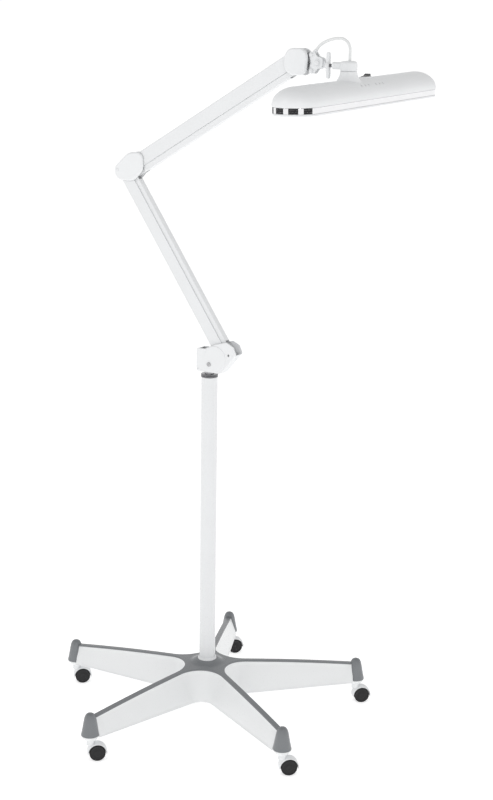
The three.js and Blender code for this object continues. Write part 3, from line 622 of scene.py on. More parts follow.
def build_star():
    """The white star: side panels set in behind a thin border, hollow from below."""
    def side_top(r):
        return leg_top(r) - COVER_THICKNESS - 0.3

    def ceiling(r):
        return leg_top(r) - COVER_THICKNESS - 3.5

    rings = []
    for s in (0, 0.15, 0.5, 0.85, 1):
        lower = star_outline(*CAVITY_FOOT, CAVITY_TIP)
        upper = star_outline(*CAVITY_BROW, CAVITY_TIP)
        rings.append(blended(lower, upper, 1 - s, leg_bottom, ceiling))
    for s in (0, 0.035, 0.05, 0.065, 0.08, 0.1, 0.5, 0.9, 0.92, 0.935, 0.95, 0.965, 1):
        border = smooth((s - 0.035) / 0.055) * smooth((0.965 - s) / 0.055)

        def dent(t):
            return PANEL_DEPTH * border * smooth((t - 0.045) / 0.035)

        lower = star_outline(*SIDE_FOOT, dent=dent)
        upper = star_outline(*SIDE_BROW, dent=dent)
        rings.append(blended(lower, upper, s, leg_bottom, side_top))
    star = star_solid(rings, (40, 30, POLE_R + 0.3), lambda r: side_top(HUB_R), lambda r: ceiling(HUB_R))
    boss = [(POLE_R + 0.3, 61.7), (6, 61.7), (6, 46.4), (6.4, 46), (25.4, 46), (26, 46.6), (26, 114.5),
            (POLE_R + 0.3, 114.5)]
    post = [(4.4, 47), (13.6, 47), (14.2, 47.2), (19.1, 53.8), (19.3, 54.3), (19.3, 55.4), (19, 55.7),
            (16.2, 55.7), (9.2, 94), (4.4, 94)]
    star = add(star, lathe(boss, steps=72, wrap=True))
    posts = []
    for i in range(1, LEGS + 1):
        x, y = turned(STEM_CIRCLE_R, 0, leg_angle(i))
        posts.append(lathe(post, at=(x, y, 0), steps=48, wrap=True))
    star = add(star, together(*posts))
    finish_piece(star, "star_base_body", POLE, "base", "white_base", ["star_base"])


COVER_HALF = 6.3
COVER_FILLET = 56
COVER_TIP = LEG_TIP + 4
CROWN_RISE = 5.7
CROWN_FOOT = 39
CROWN_TOP = 22.5


def build_cover():
    """The grey cover: eased along its edges, and rising to the pole."""
    def crown(r):
        return leg_top(r) + CROWN_RISE * smooth((CROWN_FOOT - r) / (CROWN_FOOT - CROWN_TOP))

    rings = []
    for pull, drop in ((0.4, 3), (0, 2.7), (0, 1.1), (0.15, 0.6), (0.5, 0.22), (1.0, 0.04), (1.6, 0)):
        outline = star_outline(COVER_HALF - pull, COVER_FILLET + pull, COVER_TIP)
        rings.append(lifted(outline, lambda r: leg_top(r) - drop))
    radii = (46, 42, 39, 36, 33.5, 31, 28.5, 26, 24, 22.5, 20, POLE_R + 0.5)
    cover = star_solid(rings, radii, crown, lambda r: leg_top(HUB_R) - COVER_THICKNESS)
    finish_piece(cover, "base_cover", POLE, "base", "grey_plastic", ["base_top_cover"])


def leg_section(x):
    """Section of a leg with its cover, grown by the gap that the cap keeps from it."""
    top = leg_top(x)
    low = leg_bottom(x) - 0.3
    lip = top - COVER_THICKNESS - 0.6
    ring = [(-19.3, low), (19.3, low), (6.0, lip), (6.6, lip), (6.6, top + 0.3), (-6.6, top + 0.3),
            (-6.6, lip), (-6.0, lip)]
    return [(x, y, z) for y, z in ring]


def build_leg_caps():
    """Grey bell-shaped caps over the leg ends, slotted for the leg."""
    outer = [(17.6, 56.3), (18.9, 56), (19.5, 56.6), (19.3, 58), (18.2, 62.5), (17.0, 68), (15.9, 74),
             (14.8, 80), (13.8, 86), (12.8, 91), (11.8, 94.8), (10.5, 98), (8.9, 100.7), (7.0, 102.5),
             (4.8, 103.5), (2.4, 103.9), (0, 104)]
    inner = [(0, 98), (7, 97.4), (10, 95), (12.6, 80), (15, 68), (17.2, 57)]
    master = lathe(outer + inner, at=(STEM_CIRCLE_R, 0, 0), steps=72)
    master = cut(master, loft([leg_section(x) for x in (300, 315, LEG_TIP + 1)]))
    for i in range(1, LEGS + 1):
        turn = Matrix.Rotation(leg_angle(i), 4, "Z")
        finish_piece(duplicate(master), f"leg_cap_{i}_bell", POLE @ turn, "base", "grey_plastic",
                     [f"leg_cap_{i}"])
    bpy.data.objects.remove(master)


CASTOR_AXLE = (14, 0, 17)


def build_castor_hood():
    """The hood over the wheels: a curved shell, a web between the wheels, and the stem."""
    axle_x, _, axle_z = CASTOR_AXLE
    arc = []
    half = [(0.5, 2.1), (18.2, 2.1), (18.6, 2.5), (18.6, 10.5), (18.9, 10.9), (19.6, 10.9), (20.3, 10.2),
            (20.8, 9), (21, 7.4)]
    section = half + [(21, 0)] + mirrored(half)
    steps = 40
    for k in range(steps + 1):
        a = math.radians(mix(-7, 187, k / steps))
        arc.append([(axle_x + r * math.cos(a), y, axle_z + r * math.sin(a)) for r, y in section])
    hood = add(loft(arc), rod(6, -2.1, 2.1, "Y", CASTOR_AXLE))
    neck = [(0, 34), (8.6, 34), (8.4, 37), (8, 40), (8, 45.6), (7.6, 46.4), (4.1, 46.5), (4.1, 73.4),
            (3.5, 74), (0, 74)]
    hood = add(hood, lathe(neck, steps=48))
    return cut(hood, rod(3.4, -5, 5, "Y", CASTOR_AXLE, 32))


def build_castors():
    """Twin-wheel castors: a rounded hood over two wheels, on a stem."""
    hood = build_castor_hood()
    right = [(3.25, 2.9), (12, 2.9), (15.4, 2.6), (16.4, 3.0), (16.9, 3.9), (17, 5), (17, 8.2), (16.9, 9.3),
             (16.4, 10.2), (15.6, 10.6), (14, 10.6), (13.5, 10.3), (13.2, 9.7), (12.2, 9.5), (7.8, 9.5),
             (7.2, 9.8), (6.8, 10.4), (6.2, 10.7), (3.6, 10.7), (3.2, 10.4), (0, 10.4)]
    wheels = lathe(mirrored(right) + right, "Y", CASTOR_AXLE, 72)
    for i in range(1, LEGS + 1):
        place = castor_frame(i)
        castor = f"castor_{i}"
        finish_piece(duplicate(hood), f"{castor}_fork", place, castor, "white_plastic", [f"{castor}_hood"])
        finish_piece(duplicate(wheels), f"{castor}_twin_wheel", place, f"{castor}_roller", "wheel_black",
                     [f"{castor}_wheels"])
    bpy.data.objects.remove(hood)
    bpy.data.objects.remove(wheels)


def build_pole():
    """The pole tube with its foot collar and the polished collar on top."""
    inner = POLE_R - 1.5
    profile = [(5.3, 62), (POLE_R - 0.4, 62), (POLE_R, 62.4), (POLE_R, 400), (POLE_R, 744),
               (POLE_R - 0.25, 744.4), (POLE_R - 0.25, 745.6), (POLE_R, 746), (POLE_R, 763.4),
               (POLE_R - 0.5, 764), (inner, 764), (inner, 78), (5.3, 78)]
    finish_piece(lathe(profile, steps=96, wrap=True), "pole_tube", POLE, "base", "white_metal", ["pole"])
    foot = [(17.8, 126.3), (20.1, 126.3), (20.4, 126.7), (20.3, 127.6), (19.9, 129.2), (19.3, 130.8),
            (18.8, 131.4), (17.8, 131.5)]
    finish_piece(lathe(foot, steps=96, wrap=True), "foot_collar_ring", POLE, "base", "white_plastic",
                 ["foot_collar"])
    collar = [(10, 764.3), (17.9, 764.3), (18.4, 764.8), (18.6, 765.6), (18.4, 766.5), (17.7, 767.1),
              (17.4, 767.6), (17.7, 768.1), (18.4, 768.7), (18.6, 769.5), (18.3, 770.4), (17.7, 771),
              (10, 771)]
    # the polished collar wears the darkened chrome copy: painted dark reflections
    finish_piece(lathe(collar, steps=96, wrap=True), "pole_top_collar", POLE, "base", "chrome_trim",
                 ["top_collar"], look="chrome_painted_reflection")


# ---- bracket
CLAMP_SCREW = (8, 0, 794)
BRACKET_LINK = (55, 0, 818)
BRACKET_PIVOT = (22, 0, 808)
BRACKET_DIMPLE = (-19.5, 0, 782.5)
BRACKET_CORNERS = [
    (-24, 776.5, 4), (36, 776.5, 6), (73, 821, 4), (66, 837, 3), (50, 845, 4), (22, 838, 8), (-4, 826, 3),
    (-24, 826, 3),
]
SIDES = (("front", -1), ("back", 1))


def across(side, a, b):
    """A span along Y on one side of the middle plane, lowest first."""
    return (a, b) if side > 0 else (-b, -a)


def build_bracket():
    """Two moulded halves that clamp the pole's spigot and carry the lower arm."""
    open_top = [(-60, 826.4), (-4, 824), (90, 818), (90, 870), (-60, 870)]
    slot_area = [(-20.5, 819), (-7, 819), (-7, 840), (-20.5, 840)]
    for name, side in SIDES:
        half = pillow(BRACKET_CORNERS, edge_levels(0.15, 15, 1.2), side)
        rim = [(25.2, side * 16), (25.7, side * 15.8), (26, side * 15.3), (26, side * 14)]
        half = add(half, lathe([(0, side * 16)] + rim + [(0, side * 14)], "Y", BRACKET_PIVOT, 96))
        half = cut(half, plate(rounded(inset(BRACKET_CORNERS, 2)), *across(side, -1, 12)))
        half = cut(half, plate(open_top, *across(side, -2, 11.9)))
        half = cut(half, plate(slot_area, *across(side, -2, 10)))
        half = add(half, rod(5, side * 4.3, side * 12.5, "Y", CLAMP_SCREW))
        half = cut(half, rod(2.7, *THROUGH, "Y", CLAMP_SCREW),
                   rod(2.6, side * 11, side * 20, "Y", BRACKET_LINK),
                   rod(1.3, side * 12.8, side * 20, "Y", BRACKET_DIMPLE),
                   rod(9.4, 760, 800, "Z"))
        finish_piece(half, f"bracket_{name}_half", POLE, "bracket", "white_plastic", [f"bracket_{name}"])
    screw = lathe([(0, -17.4), (1.4, -17.4), (1.6, -18.3), (2.6, -18.6), (3.6, -18.4), (4.3, -17.8),
                   (4.6, -16.9), (4.6, -16.3), (2.5, -16.3), (2.5, 18), (0, 18)], "Y", CLAMP_SCREW, 48)
    nut = rod(4.6, 16.3, 19.6, "Y", CLAMP_SCREW, 6)
    finish_piece(add(screw, nut), "bracket_screw_and_nut", POLE, "bracket", "zinc_steel",
                 ["bracket_clamp_screw"], bevel=0.25)


# ---- arms
ARM_LENGTH = 445
CHANNEL_HALF = 10
CHANNEL_WALL = 1.6
LINK_HALF = 7.9
LINK_WALL = 1.3
LINK_R = 6.5
WEB_START = 26
FORK = 24


def extruded_x(outline, start, end):
    """An outline in the YZ plane, extruded along X."""
    return loft([[(x, y, z) for y, z in outline] for x in (start, end)])


def build_rail(name, place, height):
    """The outer channel, open below and at its forked ends."""
    half = CHANNEL_HALF
    wall = half - CHANNEL_WALL
    top = height / 2
    ceiling = top - CHANNEL_WALL
    section = rounded([(-half, -top, 0.5), (-wall, -top, 0.5), (-wall, ceiling, 1.4), (wall, ceiling, 1.4),
                       (wall, -top, 0.5), (half, -top, 0.5), (half, top, 2.6), (-half, top, 2.6)], 6)
    channel = extruded_x(section, -20, ARM_LENGTH + 20)
    channel = keep(channel, plate(rounded(bar_corners(0, ARM_LENGTH, top + 0.1, top - 1), 12), *THROUGH))
    channel = cut(channel, block((-40, -wall + 0.1, 0), (WEB_START, wall - 0.1, height)),
                  block((ARM_LENGTH - WEB_START, -wall + 0.1, 0), (ARM_LENGTH + 40, wall - 0.1, height)),
                  rod(3.15, *THROUGH, "Y"), rod(3.15, *THROUGH, "Y", (ARM_LENGTH, 0, 0)))
    finish_piece(channel, f"{name}_arm_rail", place, f"{name}_arm", "white_metal",
                 [f"{name}_arm_channel"], bevel=0.25)


SPRING_TURNS = 90
TURN_STEPS = 10
WIRE_R = 0.75
COIL_R = 3.6 - WIRE_R
COIL_START = 50
COIL_END = ARM_LENGTH - 198
HOOK_LENGTH = 8
SPRING_DROP = 6


def build_spring(name, place, z):
    """The counterbalance spring inside the channel, with a straight hook at each end."""
    coil = []
    steps = SPRING_TURNS * TURN_STEPS
    for k in range(steps + 1):
        a = 2 * math.pi * k / TURN_STEPS
        coil.append((mix(COIL_START, COIL_END, k / steps), COIL_R * math.cos(a), z + COIL_R * math.sin(a)))
    spans = ((COIL_START - HOOK_LENGTH, COIL_START + 1), (COIL_END - 1, COIL_END + HOOK_LENGTH))
    hooks = [sweep([(start, 0, z), (end, 0, z)], WIRE_R, 10) for start, end in spans]
    spring = together(sweep(coil, WIRE_R, 6), *hooks)
    finish_piece(spring, f"{name}_arm_coil", place, f"{name}_arm", "zinc_steel", [f"{name}_arm_spring"])


def build_tie(name, place, narrow):
    """The parallel link. With narrow, its near end fits inside the lower link's at the elbow."""
    inner = LINK_HALF - LINK_WALL
    section = rounded([(-LINK_HALF, -LINK_R, 1.6), (LINK_HALF, -LINK_R, 1.6), (LINK_HALF, LINK_R, 0.4),
                       (-LINK_HALF, LINK_R, 0.4)], 6)
    bar = extruded_x(section, -10, ARM_LENGTH + 10)
    bar = keep(bar, plate(rounded(bar_corners(0, ARM_LENGTH, LINK_R + 0.1, LINK_R), 12), *THROUGH))
    bar = cut(bar, block((FORK + 6, -inner, LINK_WALL - LINK_R), (ARM_LENGTH + 40, inner, 20)),
              block((ARM_LENGTH - FORK, -inner + 0.05, -20), (ARM_LENGTH + 40, inner - 0.05, 20)))
    if narrow:
        bar = cut(bar, block((-40, -4.3, -20), (FORK + 7, 4.3, 20)), block((-40, 6.2, -20), (FORK, 20, 20)),
                  block((-40, -20, -20), (FORK, -6.2, 20)))
    else:
        bar = cut(bar, block((-40, -inner + 0.05, -20), (FORK + 7, inner - 0.05, 20)))
    bar = cut(bar, rod(3, *THROUGH, "Y"), rod(3, *THROUGH, "Y", (ARM_LENGTH, 0, 0)))
    finish_piece(bar, f"{name}_arm_tie", place, f"{name}_link", "white_metal", [f"{name}_arm_link"],
                 bevel=0.2)


def build_arm(name, arm_place, link_place, height, narrow):
    build_rail(name, arm_place, height)
    build_spring(name, arm_place, height / 2 - CHANNEL_WALL - SPRING_DROP)
    build_tie(name, link_place, narrow)


# ---- elbow and arm end
ELBOW_CORNERS = [(-25, -12, 19), (24, -12, 26), (48, 12, 20), (47, 50, 14), (10, 48, 30), (-26, 16, 16)]
END_CORNERS = [(-25, -34, 22), (25, -35, 16), (29, 18, 18), (-23, 18, 20)]


def cover_shell(corners, side, start, open_area, round_r=4.2):
    """A cover plate with a soft edge, hollow behind, open where the arms pass."""
    shell = pillow(corners, edge_levels(start, 15, round_r, 7), side, 10)
    shell = cut(shell, plate(rounded(inset(corners, 2.2), 10), *across(side, -1, 12)))
    return cut(shell, plate(open_area, *across(side, -2, 11.9)))


def build_elbow():
    """Two rounded shells over the elbow's core."""
    open_area = [(-70, -60), (90, -60), (90, 90), (4, 90), (4, 36), (-18, -9), (-70, -9)]
    screw = (-17, 0, 10)
    for name, side in SIDES:
        shell = cover_shell(ELBOW_CORNERS, side, 0.15, open_area)
        shell = add(shell, rod(4, side * 4.3, side * 12.5, "Y", screw))
        shell = cut(shell, rod(2, *THROUGH, "Y", screw))
        finish_piece(shell, f"elbow_{name}_shell", ELBOW, "elbow", "white_plastic", [f"elbow_cover_{name}"])
    head = [(0, -15.9), (0.8, -15.9), (1.0, -16.4), (2.2, -16.6), (3.0, -16.2), (3.4, -15.3), (1.7, -15.3)]
    finish_piece(lathe(head + mirrored(head), "Y", screw, 40), "elbow_cover_screw", ELBOW, "elbow",
                 "white_plastic", ["elbow_screw"])


def build_end_covers():
    """Two rounded shells over the upper arm's end."""
    open_area = [(-60, -60), (14, -60), (14, 60), (-60, 60)]
    for name, side in SIDES:
        shell = cover_shell(END_CORNERS, side, 9, open_area)
        finish_piece(shell, f"arm_end_{name}_shell", ARM_END, "arm_end", "white_plastic",
                     [f"end_cover_{name}"])


KNUCKLE_BOLTS = ((-13, 0, 15), (-13, 0, -15))
KNUCKLE_CORNERS = [
    (-19, -21, 5), (-7, -21, 5), (0, -11, 6), (11.5, -11, 8), (11.5, 11, 8), (0, 11, 6), (-7, 21, 5),
    (-19, 21, 5), (-14, 0, 8),
]


def domed_bolt(shank, head, tip, at):
    """A bolt with a domed head on the front and a capped nut on the back."""
    front = [(0, -tip), (head * 0.35, -tip + 0.1), (head * 0.7, -tip + 0.6), (head * 0.93, -tip + 1.2),
             (head, -tip + 1.9), (head, -8.8), (shank, -8.8)]
    return lathe(front + mirrored(front), "Y", at, 40)


def build_knuckle():
    """Ribbed plates that clamp the tilt block, with bosses round their bolts."""
    for name, side in SIDES:
        body = pillow(KNUCKLE_CORNERS, [(0, 4.4), (0, 6.9), (0.3, 7.3), (0.8, 7.5)], side, 6)
        rib = pillow(KNUCKLE_CORNERS, [(0, 6), (0, 7.9), (0.25, 8.25), (0.6, 8.4)], side, 6)
        rib = cut(rib, plate(rounded(inset(KNUCKLE_CORNERS, 1.7), 6), *across(side, 5, 10)))
        body = add(body, rib)
        for at in KNUCKLE_BOLTS:
            body = add(body, lathe([(0, side * 6), (5, side * 6), (4.8, side * 8.1), (4.5, side * 8.6),
                                    (0, side * 8.6)], "Y", at, 40))
        body = add(body, lathe([(0, side * 6), (7.6, side * 6), (7.2, side * 7.9), (6.6, side * 8.6),
                                (0, side * 8.6)], "Y", (0, 0, 0), 48))
        holes = [rod(2.7, *THROUGH, "Y", at, 24) for at in KNUCKLE_BOLTS]
        body = cut(body, rod(3.15, *THROUGH, "Y"), *holes)
        finish_piece(body, f"knuckle_{name}_cheek", KNUCKLE, "arm_end", "white_plastic",
                     [f"knuckle_plate_{name}"])
    for name, at in zip(("upper", "lower"), KNUCKLE_BOLTS):
        finish_piece(domed_bolt(2.5, 4.2, 11, at), f"knuckle_{name}_dome_bolt", KNUCKLE, "arm_end",
                     "white_metal", [f"knuckle_bolt_{name}"])
    finish_piece(domed_bolt(3, 5.5, 12.4, (0, 0, 0)), "tilt_dome_bolt", KNUCKLE, "arm_end", "white_metal",
                 ["tilt_bolt"])


# ---- head joint
STUD_Z = -4.6


def build_stud():
    """The threaded stud, its thread cut as rings."""
    thread = [(0, 8.2), (2.7, 8.2)]
    pitch = 1.25
    x = 8.6
    while x + pitch < 49.4:
        thread += [(2.75, x), (3.2, x + 0.45 * pitch), (3.2, x + 0.6 * pitch)]
        x += pitch
    thread += [(2.75, 49.4), (2.3, 50), (0, 50)]
    # the stud wears the darkened chrome copy: painted dark reflections
    finish_piece(lathe(thread, "X", (0, 0, STUD_Z), 32), "threaded_stud", TILT, "tilt", "chrome_trim",
                 ["stud"], look="chrome_painted_reflection")


def build_wing_nut():
    lobe_corners = [(17, 0, 0.5), (23, 0, 0.5), (25, 15, 3), (24, 25, 2.9), (18, 25, 2.9), (16.5, 12, 3)]
    levels = [(1.5, -4), (0.5, -3.6), (0, -2.6), (0, 2.6), (0.5, 3.6), (1.5, 4)]
    hub = [(3.5, 16.6), (6.9, 16.6), (7.5, 17.3), (7.5, 22.6), (6.6, 24), (3.5, 24)]
    nut = lathe(hub, "X", steps=48, wrap=True)
    for z_side in (1, -1):
        rings = []
        for distance, y in levels:
            rings.append([(x, y, z * z_side) for x, z in rounded(inset(lobe_corners, distance), 6)])
        nut = add(nut, loft(rings))
    nut = cut(nut, rod(3.5, 10, 30, "X", steps=32))
    on_stud = TILT @ Matrix.Translation((0, 0, STUD_Z))
    finish_piece(nut, "wing_nut_moulding", on_stud, "wing", "white_plastic", ["wing_nut"])


def build_swivel():
    """The stub tube, and the barrel that carries the head."""
    tube = lathe([(0, -34), (6.2, -34), (6.8, -33.6), (7, -32.9), (7, -8), (0, -8)], "X", steps=56)
    barrel = lathe([(0, -9.5), (15, -9.5), (16.2, -9.1), (16.8, -8.2), (17, -7), (17, 2.6), (16.8, 4.4),
                    (16.2, 6), (15.1, 7.4), (13.5, 8.5), (11.2, 9.2), (8, 9.5), (0, 9.5)], steps=80)
    swivel = add(barrel, tube)
    swivel = cut(swivel, rod(3.5, -40, -14.5, "X", steps=32), rod(8.4, -12, 3, steps=48),
                 rod(3.1, 2, 12, steps=32))
    finish_piece(swivel, "swivel_barrel", SWIVEL, "swivel", "white_plastic", ["head_swivel"])


# ---- head
HEAD_STRAIGHT = 255
HEAD_HALF = 44
SHELL_HALF = 45.5
RIM_TOP = 16
DOME_BASE = 18
DOME_RISE = 34
PEDESTAL_Y = -PEDESTAL_FROM_MIDDLE
PEDESTAL_TOP = 68
SWITCH_Y = 27
SWITCH_Z = 52


def round_ended(half, z, steps=28):
    """A ring with two straight sides along Y and round ends."""
    ring = []
    for middle, start in ((HEAD_STRAIGHT, 0), (-HEAD_STRAIGHT, math.pi)):
        for k in range(steps + 1):
            a = start + math.pi * k / steps
            ring.append((half * math.cos(a), middle + half * math.sin(a), z))
    return ring


def dome_height(x):
    """Height of the dome's straight part, at x from its middle line."""
    part = abs(x) / SHELL_HALF
    return DOME_BASE + DOME_RISE * math.sqrt(1 - part * part)


def dome(half, rise, low, steps=26):
    rings = [round_ended(half - 0.7, low), round_ended(half, low + 0.7)]
    for k in range(steps + 1):
        a = math.radians(90) * k / steps
        rings.append(round_ended(half * math.cos(a), DOME_BASE + rise * math.sin(a)))
    return loft(rings)


def build_pedestal():
    """The flared foot under the swivel, which runs out into the dome."""
    steps = 72
    foot_r, neck_r = 25, 16.4
    rings = [circle(24.5, 38, steps)]
    for t in (0, 0.03, 0.07, 0.12, 0.18, 0.26, 0.36, 0.48, 0.62, 0.78, 0.93):
        r = mix(neck_r, foot_r, (1 - t) ** 1.8)
        ring = []
        for a in around(steps):
            foot = dome_height(foot_r * math.cos(a)) - 0.15
            ring.append((r * math.cos(a), PEDESTAL_Y + r * math.sin(a), mix(foot, PEDESTAL_TOP, t)))
        rings.append(ring)
    for r, drop in ((16.3, 0.5), (15.8, 0), (8, 0), (8, -10.4), (7.6, -11)):
        rings.append(circle(r, PEDESTAL_TOP - drop, steps))
    return loft(rings)


def circle(r, z, steps):
    """A ring round the pedestal's axis."""
    return [(r * math.cos(a), PEDESTAL_Y + r * math.sin(a), z) for a in around(steps)]


VENT_OFFSETS = (-8, 8, 22, 54, 69, 84)
VENT_ANGLE = math.radians(45)
VENT_LEAN = math.radians(-14)


def vent_cutter(y):
    """A short slot through the dome's side, square to its surface."""
    x = SHELL_HALF * math.cos(VENT_ANGLE)
    z = DOME_BASE + DOME_RISE * math.sin(VENT_ANGLE)
    out = Vector((math.cos(VENT_ANGLE) / SHELL_HALF, 0, math.sin(VENT_ANGLE) / DOME_RISE)).normalized()
    down = ACROSS.cross(out)
    turn = Matrix((down, ACROSS, out)).transposed().to_4x4() @ Matrix.Rotation(VENT_LEAN, 4, "Z")
    outline = rounded([(-3, -1.3, 1.2), (3, -1.3, 1.2), (3, 1.3, 1.2), (-3, 1.3, 1.2)], 4)
    slot = loft([[(a, b, h) for a, b in outline] for h in (-6, 6)])
    slot.data.transform(Matrix.Translation((x, y, z)) @ turn)
    return slot


SHELL_WALL = 2.5
SWITCH_HOLE = (7.8, 12.2)


def build_head():
    """The domed shell with its pedestal, and everything set in it and under it."""
    shell = add(dome(SHELL_HALF, DOME_RISE, RIM_TOP), build_pedestal())
    hollow = dome(SHELL_HALF - SHELL_WALL, DOME_RISE - SHELL_WALL, RIM_TOP - 1)
    half_x, half_y = SWITCH_HOLE
    shell = cut(shell, hollow, block((-half_x, SWITCH_Y - half_y, 36), (half_x, SWITCH_Y + half_y, 70)),
                rod(3, 40, 100, "Z", (0, PEDESTAL_Y, 0), 32))
    shell = cut(shell, *[vent_cutter(PEDESTAL_Y + step) for step in VENT_OFFSETS])
    finish_piece(shell, "head_dome", HEAD, "head", "white_plastic", ["head_shell"], sharp=42)

    band = [(-0.5, 4.3), (-0.1, 4.7), (0, 5.4), (0, 14.6), (-0.1, 15.3), (-0.5, 15.7), (-1.6, 15.7),
            (-1.6, 4.3)]
    finish_piece(loft(rim_rings(band), wrap=True), "head_rim_band", HEAD, "head", "chrome_trim",
                 ["rim_band"])
    lower = [(-6, 0.3), (-5.7, 0), (-0.6, 0), (-0.2, 0.2), (0, 0.6), (0, 3.4), (-0.2, 3.8), (-0.6, 4),
             (-6, 4)]
    finish_piece(loft(rim_rings(lower), wrap=True), "head_lower_frame", HEAD, "head", "white_plastic",
                 ["bottom_frame"])
    lens = [(-6.8, 4), (-6.4, 3.7), (-6.4, 1.5), (-6.8, 1.1), (-7.6, 1.0)]
    finish_piece(loft(rim_rings(lens)), "head_diffuser", HEAD, "head", "diffuser", ["diffuser"])
    # dark segments on the chrome band: painted reflections
    build_painted_band_reflections()
    build_switch()


def rim_rings(profile):
    """Rings round the head for a profile of (distance out from the rim, height)."""
    return [round_ended(HEAD_HALF + out, z, steps=48) for out, z in profile]


# count, spacing, width and start angle of the dark segments that paint reflections on the chrome band
REFLECTION_PATCHES = 4
REFLECTION_SPACING = 37
REFLECTION_WIDTH = 24
REFLECTION_FIRST = -31
REFLECTION_STEPS = 8


def build_painted_band_reflections():
    """Dark streaked segments set in the bright band, round both ends of the head: painted dark reflections
    of the chrome band.
    """
    profile = [(-0.4, 4.7), (0.12, 4.8), (0.15, 6.2), (0.12, 7.6), (-0.02, 7.9), (0.12, 8.2), (0.15, 10),
               (0.12, 12), (-0.02, 12.3), (0.12, 12.6), (0.15, 14), (0.12, 15.2), (-0.4, 15.3)]
    parts = []
    for end in (-1, 1):
        for n in range(REFLECTION_PATCHES):
            middle = REFLECTION_FIRST - REFLECTION_SPACING * n + (180 if end > 0 else 0)
            rings = []
            for k in range(REFLECTION_STEPS + 1):
                a = math.radians(middle + REFLECTION_WIDTH * (k / REFLECTION_STEPS - 0.5))
                ring = []
                for out, z in profile:
                    r = HEAD_HALF + out
                    ring.append((r * math.cos(a), end * HEAD_STRAIGHT + r * math.sin(a), z))
                rings.append(ring)
            parts.append(loft(rings))
    finish_piece(together(*parts), "head_band_painted_reflections", HEAD, "head", "chrome_trim", look="painted_band_reflection")


def rectangle(half_x, half_y, radius, z, steps=6):
    corners = [(-half_x, -half_y, radius), (half_x, -half_y, radius), (half_x, half_y, radius),
               (-half_x, half_y, radius)]
    return [(x, SWITCH_Y + y, z) for x, y in rounded(corners, steps)]


def build_switch():
    """Rocker switch: a raised bezel round a shallow V of glossy black."""
    bezel = [(6.5, 10.8, 0.6, -7), (6.5, 10.8, 0.6, 1.6), (6.8, 11.1, 0.8, 2), (8.2, 12.7, 1.6, 2),
             (8.8, 13.3, 2, 1.6), (9, 13.5, 2.2, 1), (9, 13.5, 2.2, -0.9), (8.6, 13.1, 2, -1.4),
             (7.5, 11.9, 0.8, -1.5), (7.5, 11.9, 0.8, -7)]
    rings = [rectangle(x, y, r, SWITCH_Z + z) for x, y, r, z in bezel]
    finish_piece(loft(rings, wrap=True), "switch_frame", HEAD, "head", "white_plastic", ["switch_bezel"])
    side = [(-10, 0.4, 0.6), (-7.4, -6, 1), (7.4, -6, 1), (10, 2, 0.8), (9.2, 7.6, 1), (0, 3.4, 4),
            (-9.6, 2.8, 1)]
    rings = []
    for distance, x in ((0.5, -6.2), (0.15, -6.05), (0, -5.7), (0, 5.7), (0.15, 6.05), (0.5, 6.2)):
        rings.append([(x, SWITCH_Y + y, SWITCH_Z + z) for y, z in rounded(inset(side, distance), 6)])
    finish_piece(loft(rings), "switch_rocker", HEAD, "switch", "switch_black", ["rocker"])


# ---- carried-over CAD pieces
ZINC_PIECES = (
    "pole_bolt", "swivel_spigot", "bracket_pivot_pin", "elbow_core", "elbow_lower_pin", "elbow_upper_pin",
    "arm_end_core", "arm_end_pin",
)
CARRIED_OVER = {
    **dict.fromkeys(ZINC_PIECES, "zinc_steel"), "tilt_block": "white_metal", "led_board": "board",
}


def finish_carried_over():
    for name, slot in CARRIED_OVER.items():
        node = frame["nodes"][name]
        weld = node.modifiers.new("weld", "WELD")
        weld.merge_threshold = 0.001 * MM
        ease_edges(node, 0.25, segments=2)
        for material_slot in node.material_slots:
            material_slot.link = "OBJECT"
            material_slot.material = FINISHES[slot]


# ---- stage and light
FLOOR_RADII = (0.5, 2, 6, 20, 60)
FLOOR_TONE = (0.92, 0.92, 0.92, 1)
FLOOR_GLOW = 0.52


def make_floor():
    """A wide round floor, pale enough to run out into the background."""
    angles = [math.radians(a) for a in range(0, 360, 5)]
    rings = [[(r * math.cos(a), r * math.sin(a), 0) for a in angles] for r in FLOOR_RADII]
    count = len(rings[0])
    faces = [tuple(range(count))]
    for level in range(len(rings) - 1):
        faces += ring_faces(level * count, (level + 1) * count, count)
    mesh = bpy.data.meshes.new("studio_floor")
    mesh.from_pydata([p for ring in rings for p in ring], [], faces)
    floor = new_object("studio_floor", mesh)
    made = bpy.data.materials.new("pale studio floor")
    made.use_nodes = True
    set_inputs(made.node_tree.nodes["Principled BSDF"], {
        "Base Color": FLOOR_TONE, "Roughness": 0.9, "Specular IOR Level": 0.1,
        "Emission Color": (1, 1, 1, 1), "Emission Strength": FLOOR_GLOW})
    mesh.materials.append(made)


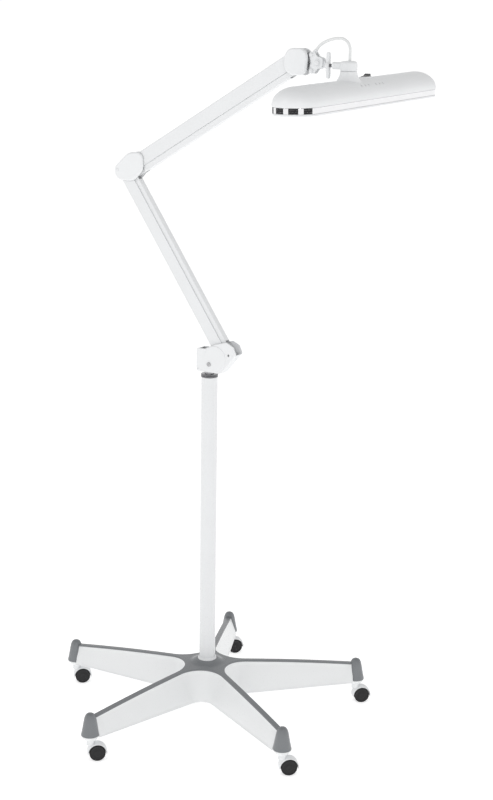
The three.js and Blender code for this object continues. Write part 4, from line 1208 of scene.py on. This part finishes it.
# brightness of the surroundings by the sine of the height above the horizon
WORLD_STOPS = ((0.0, 1.05), (0.06, 1.02), (0.3, 0.86), (0.6, 0.74), (0.85, 0.5), (1.0, 0.4))
WORLD_STRENGTH = 1.2


def make_world():
    """An even studio: bright at the horizon, darker overhead."""
    world = bpy.data.worlds.new("studio")
    bpy.context.scene.world = world
    world.use_nodes = True
    nodes = world.node_tree.nodes
    links = world.node_tree.links
    place = nodes.new("ShaderNodeTexCoord")
    split = nodes.new("ShaderNodeSeparateXYZ")
    links.new(place.outputs["Generated"], split.inputs["Vector"])
    ramp = nodes.new("ShaderNodeValToRGB")
    links.new(split.outputs["Z"], ramp.inputs["Fac"])
    elements = ramp.color_ramp.elements
    while len(elements) < len(WORLD_STOPS):
        elements.new(0.5)
    for element, (position, value) in zip(elements, WORLD_STOPS):
        element.position = position
        grey = value / WORLD_STRENGTH
        element.color = (grey, grey, grey, 1)
    background = nodes["Background"]
    links.new(ramp.outputs["Color"], background.inputs["Color"])
    background.inputs["Strength"].default_value = WORLD_STRENGTH


LIGHT_TARGET = (0, 0, 0.6)
LIGHT_SIZE = 0.5


def make_light(name, place, power):
    data = bpy.data.lights.new(name, "AREA")
    data.shape = "DISK"
    data.size = LIGHT_SIZE
    data.energy = power
    light = new_object(name, data)
    light.location = place
    light.rotation_mode = "QUATERNION"
    light.rotation_quaternion = (Vector(LIGHT_TARGET) - Vector(place)).to_track_quat("-Z", "Y")


FINISHES = make_finishes()
make_camera()
make_cable()
build_cable_gland()
build_star()
build_cover()
build_leg_caps()
build_castors()
build_pole()
build_bracket()
build_arm("lower", LOWER_ARM, LOWER_LINK, 28, narrow=False)
build_arm("upper", UPPER_ARM, UPPER_LINK, 30, narrow=True)
build_elbow()
build_end_covers()
build_knuckle()
build_stud()
build_wing_nut()
build_swivel()
build_head()
finish_carried_over()
make_floor()
make_world()
make_light("key", (-1.2, -2.4, 3.2), 7)
make_light("fill", (2.4, -2.2, 2.6), 5)
bpy.context.scene.view_settings.view_transform = "Standard"
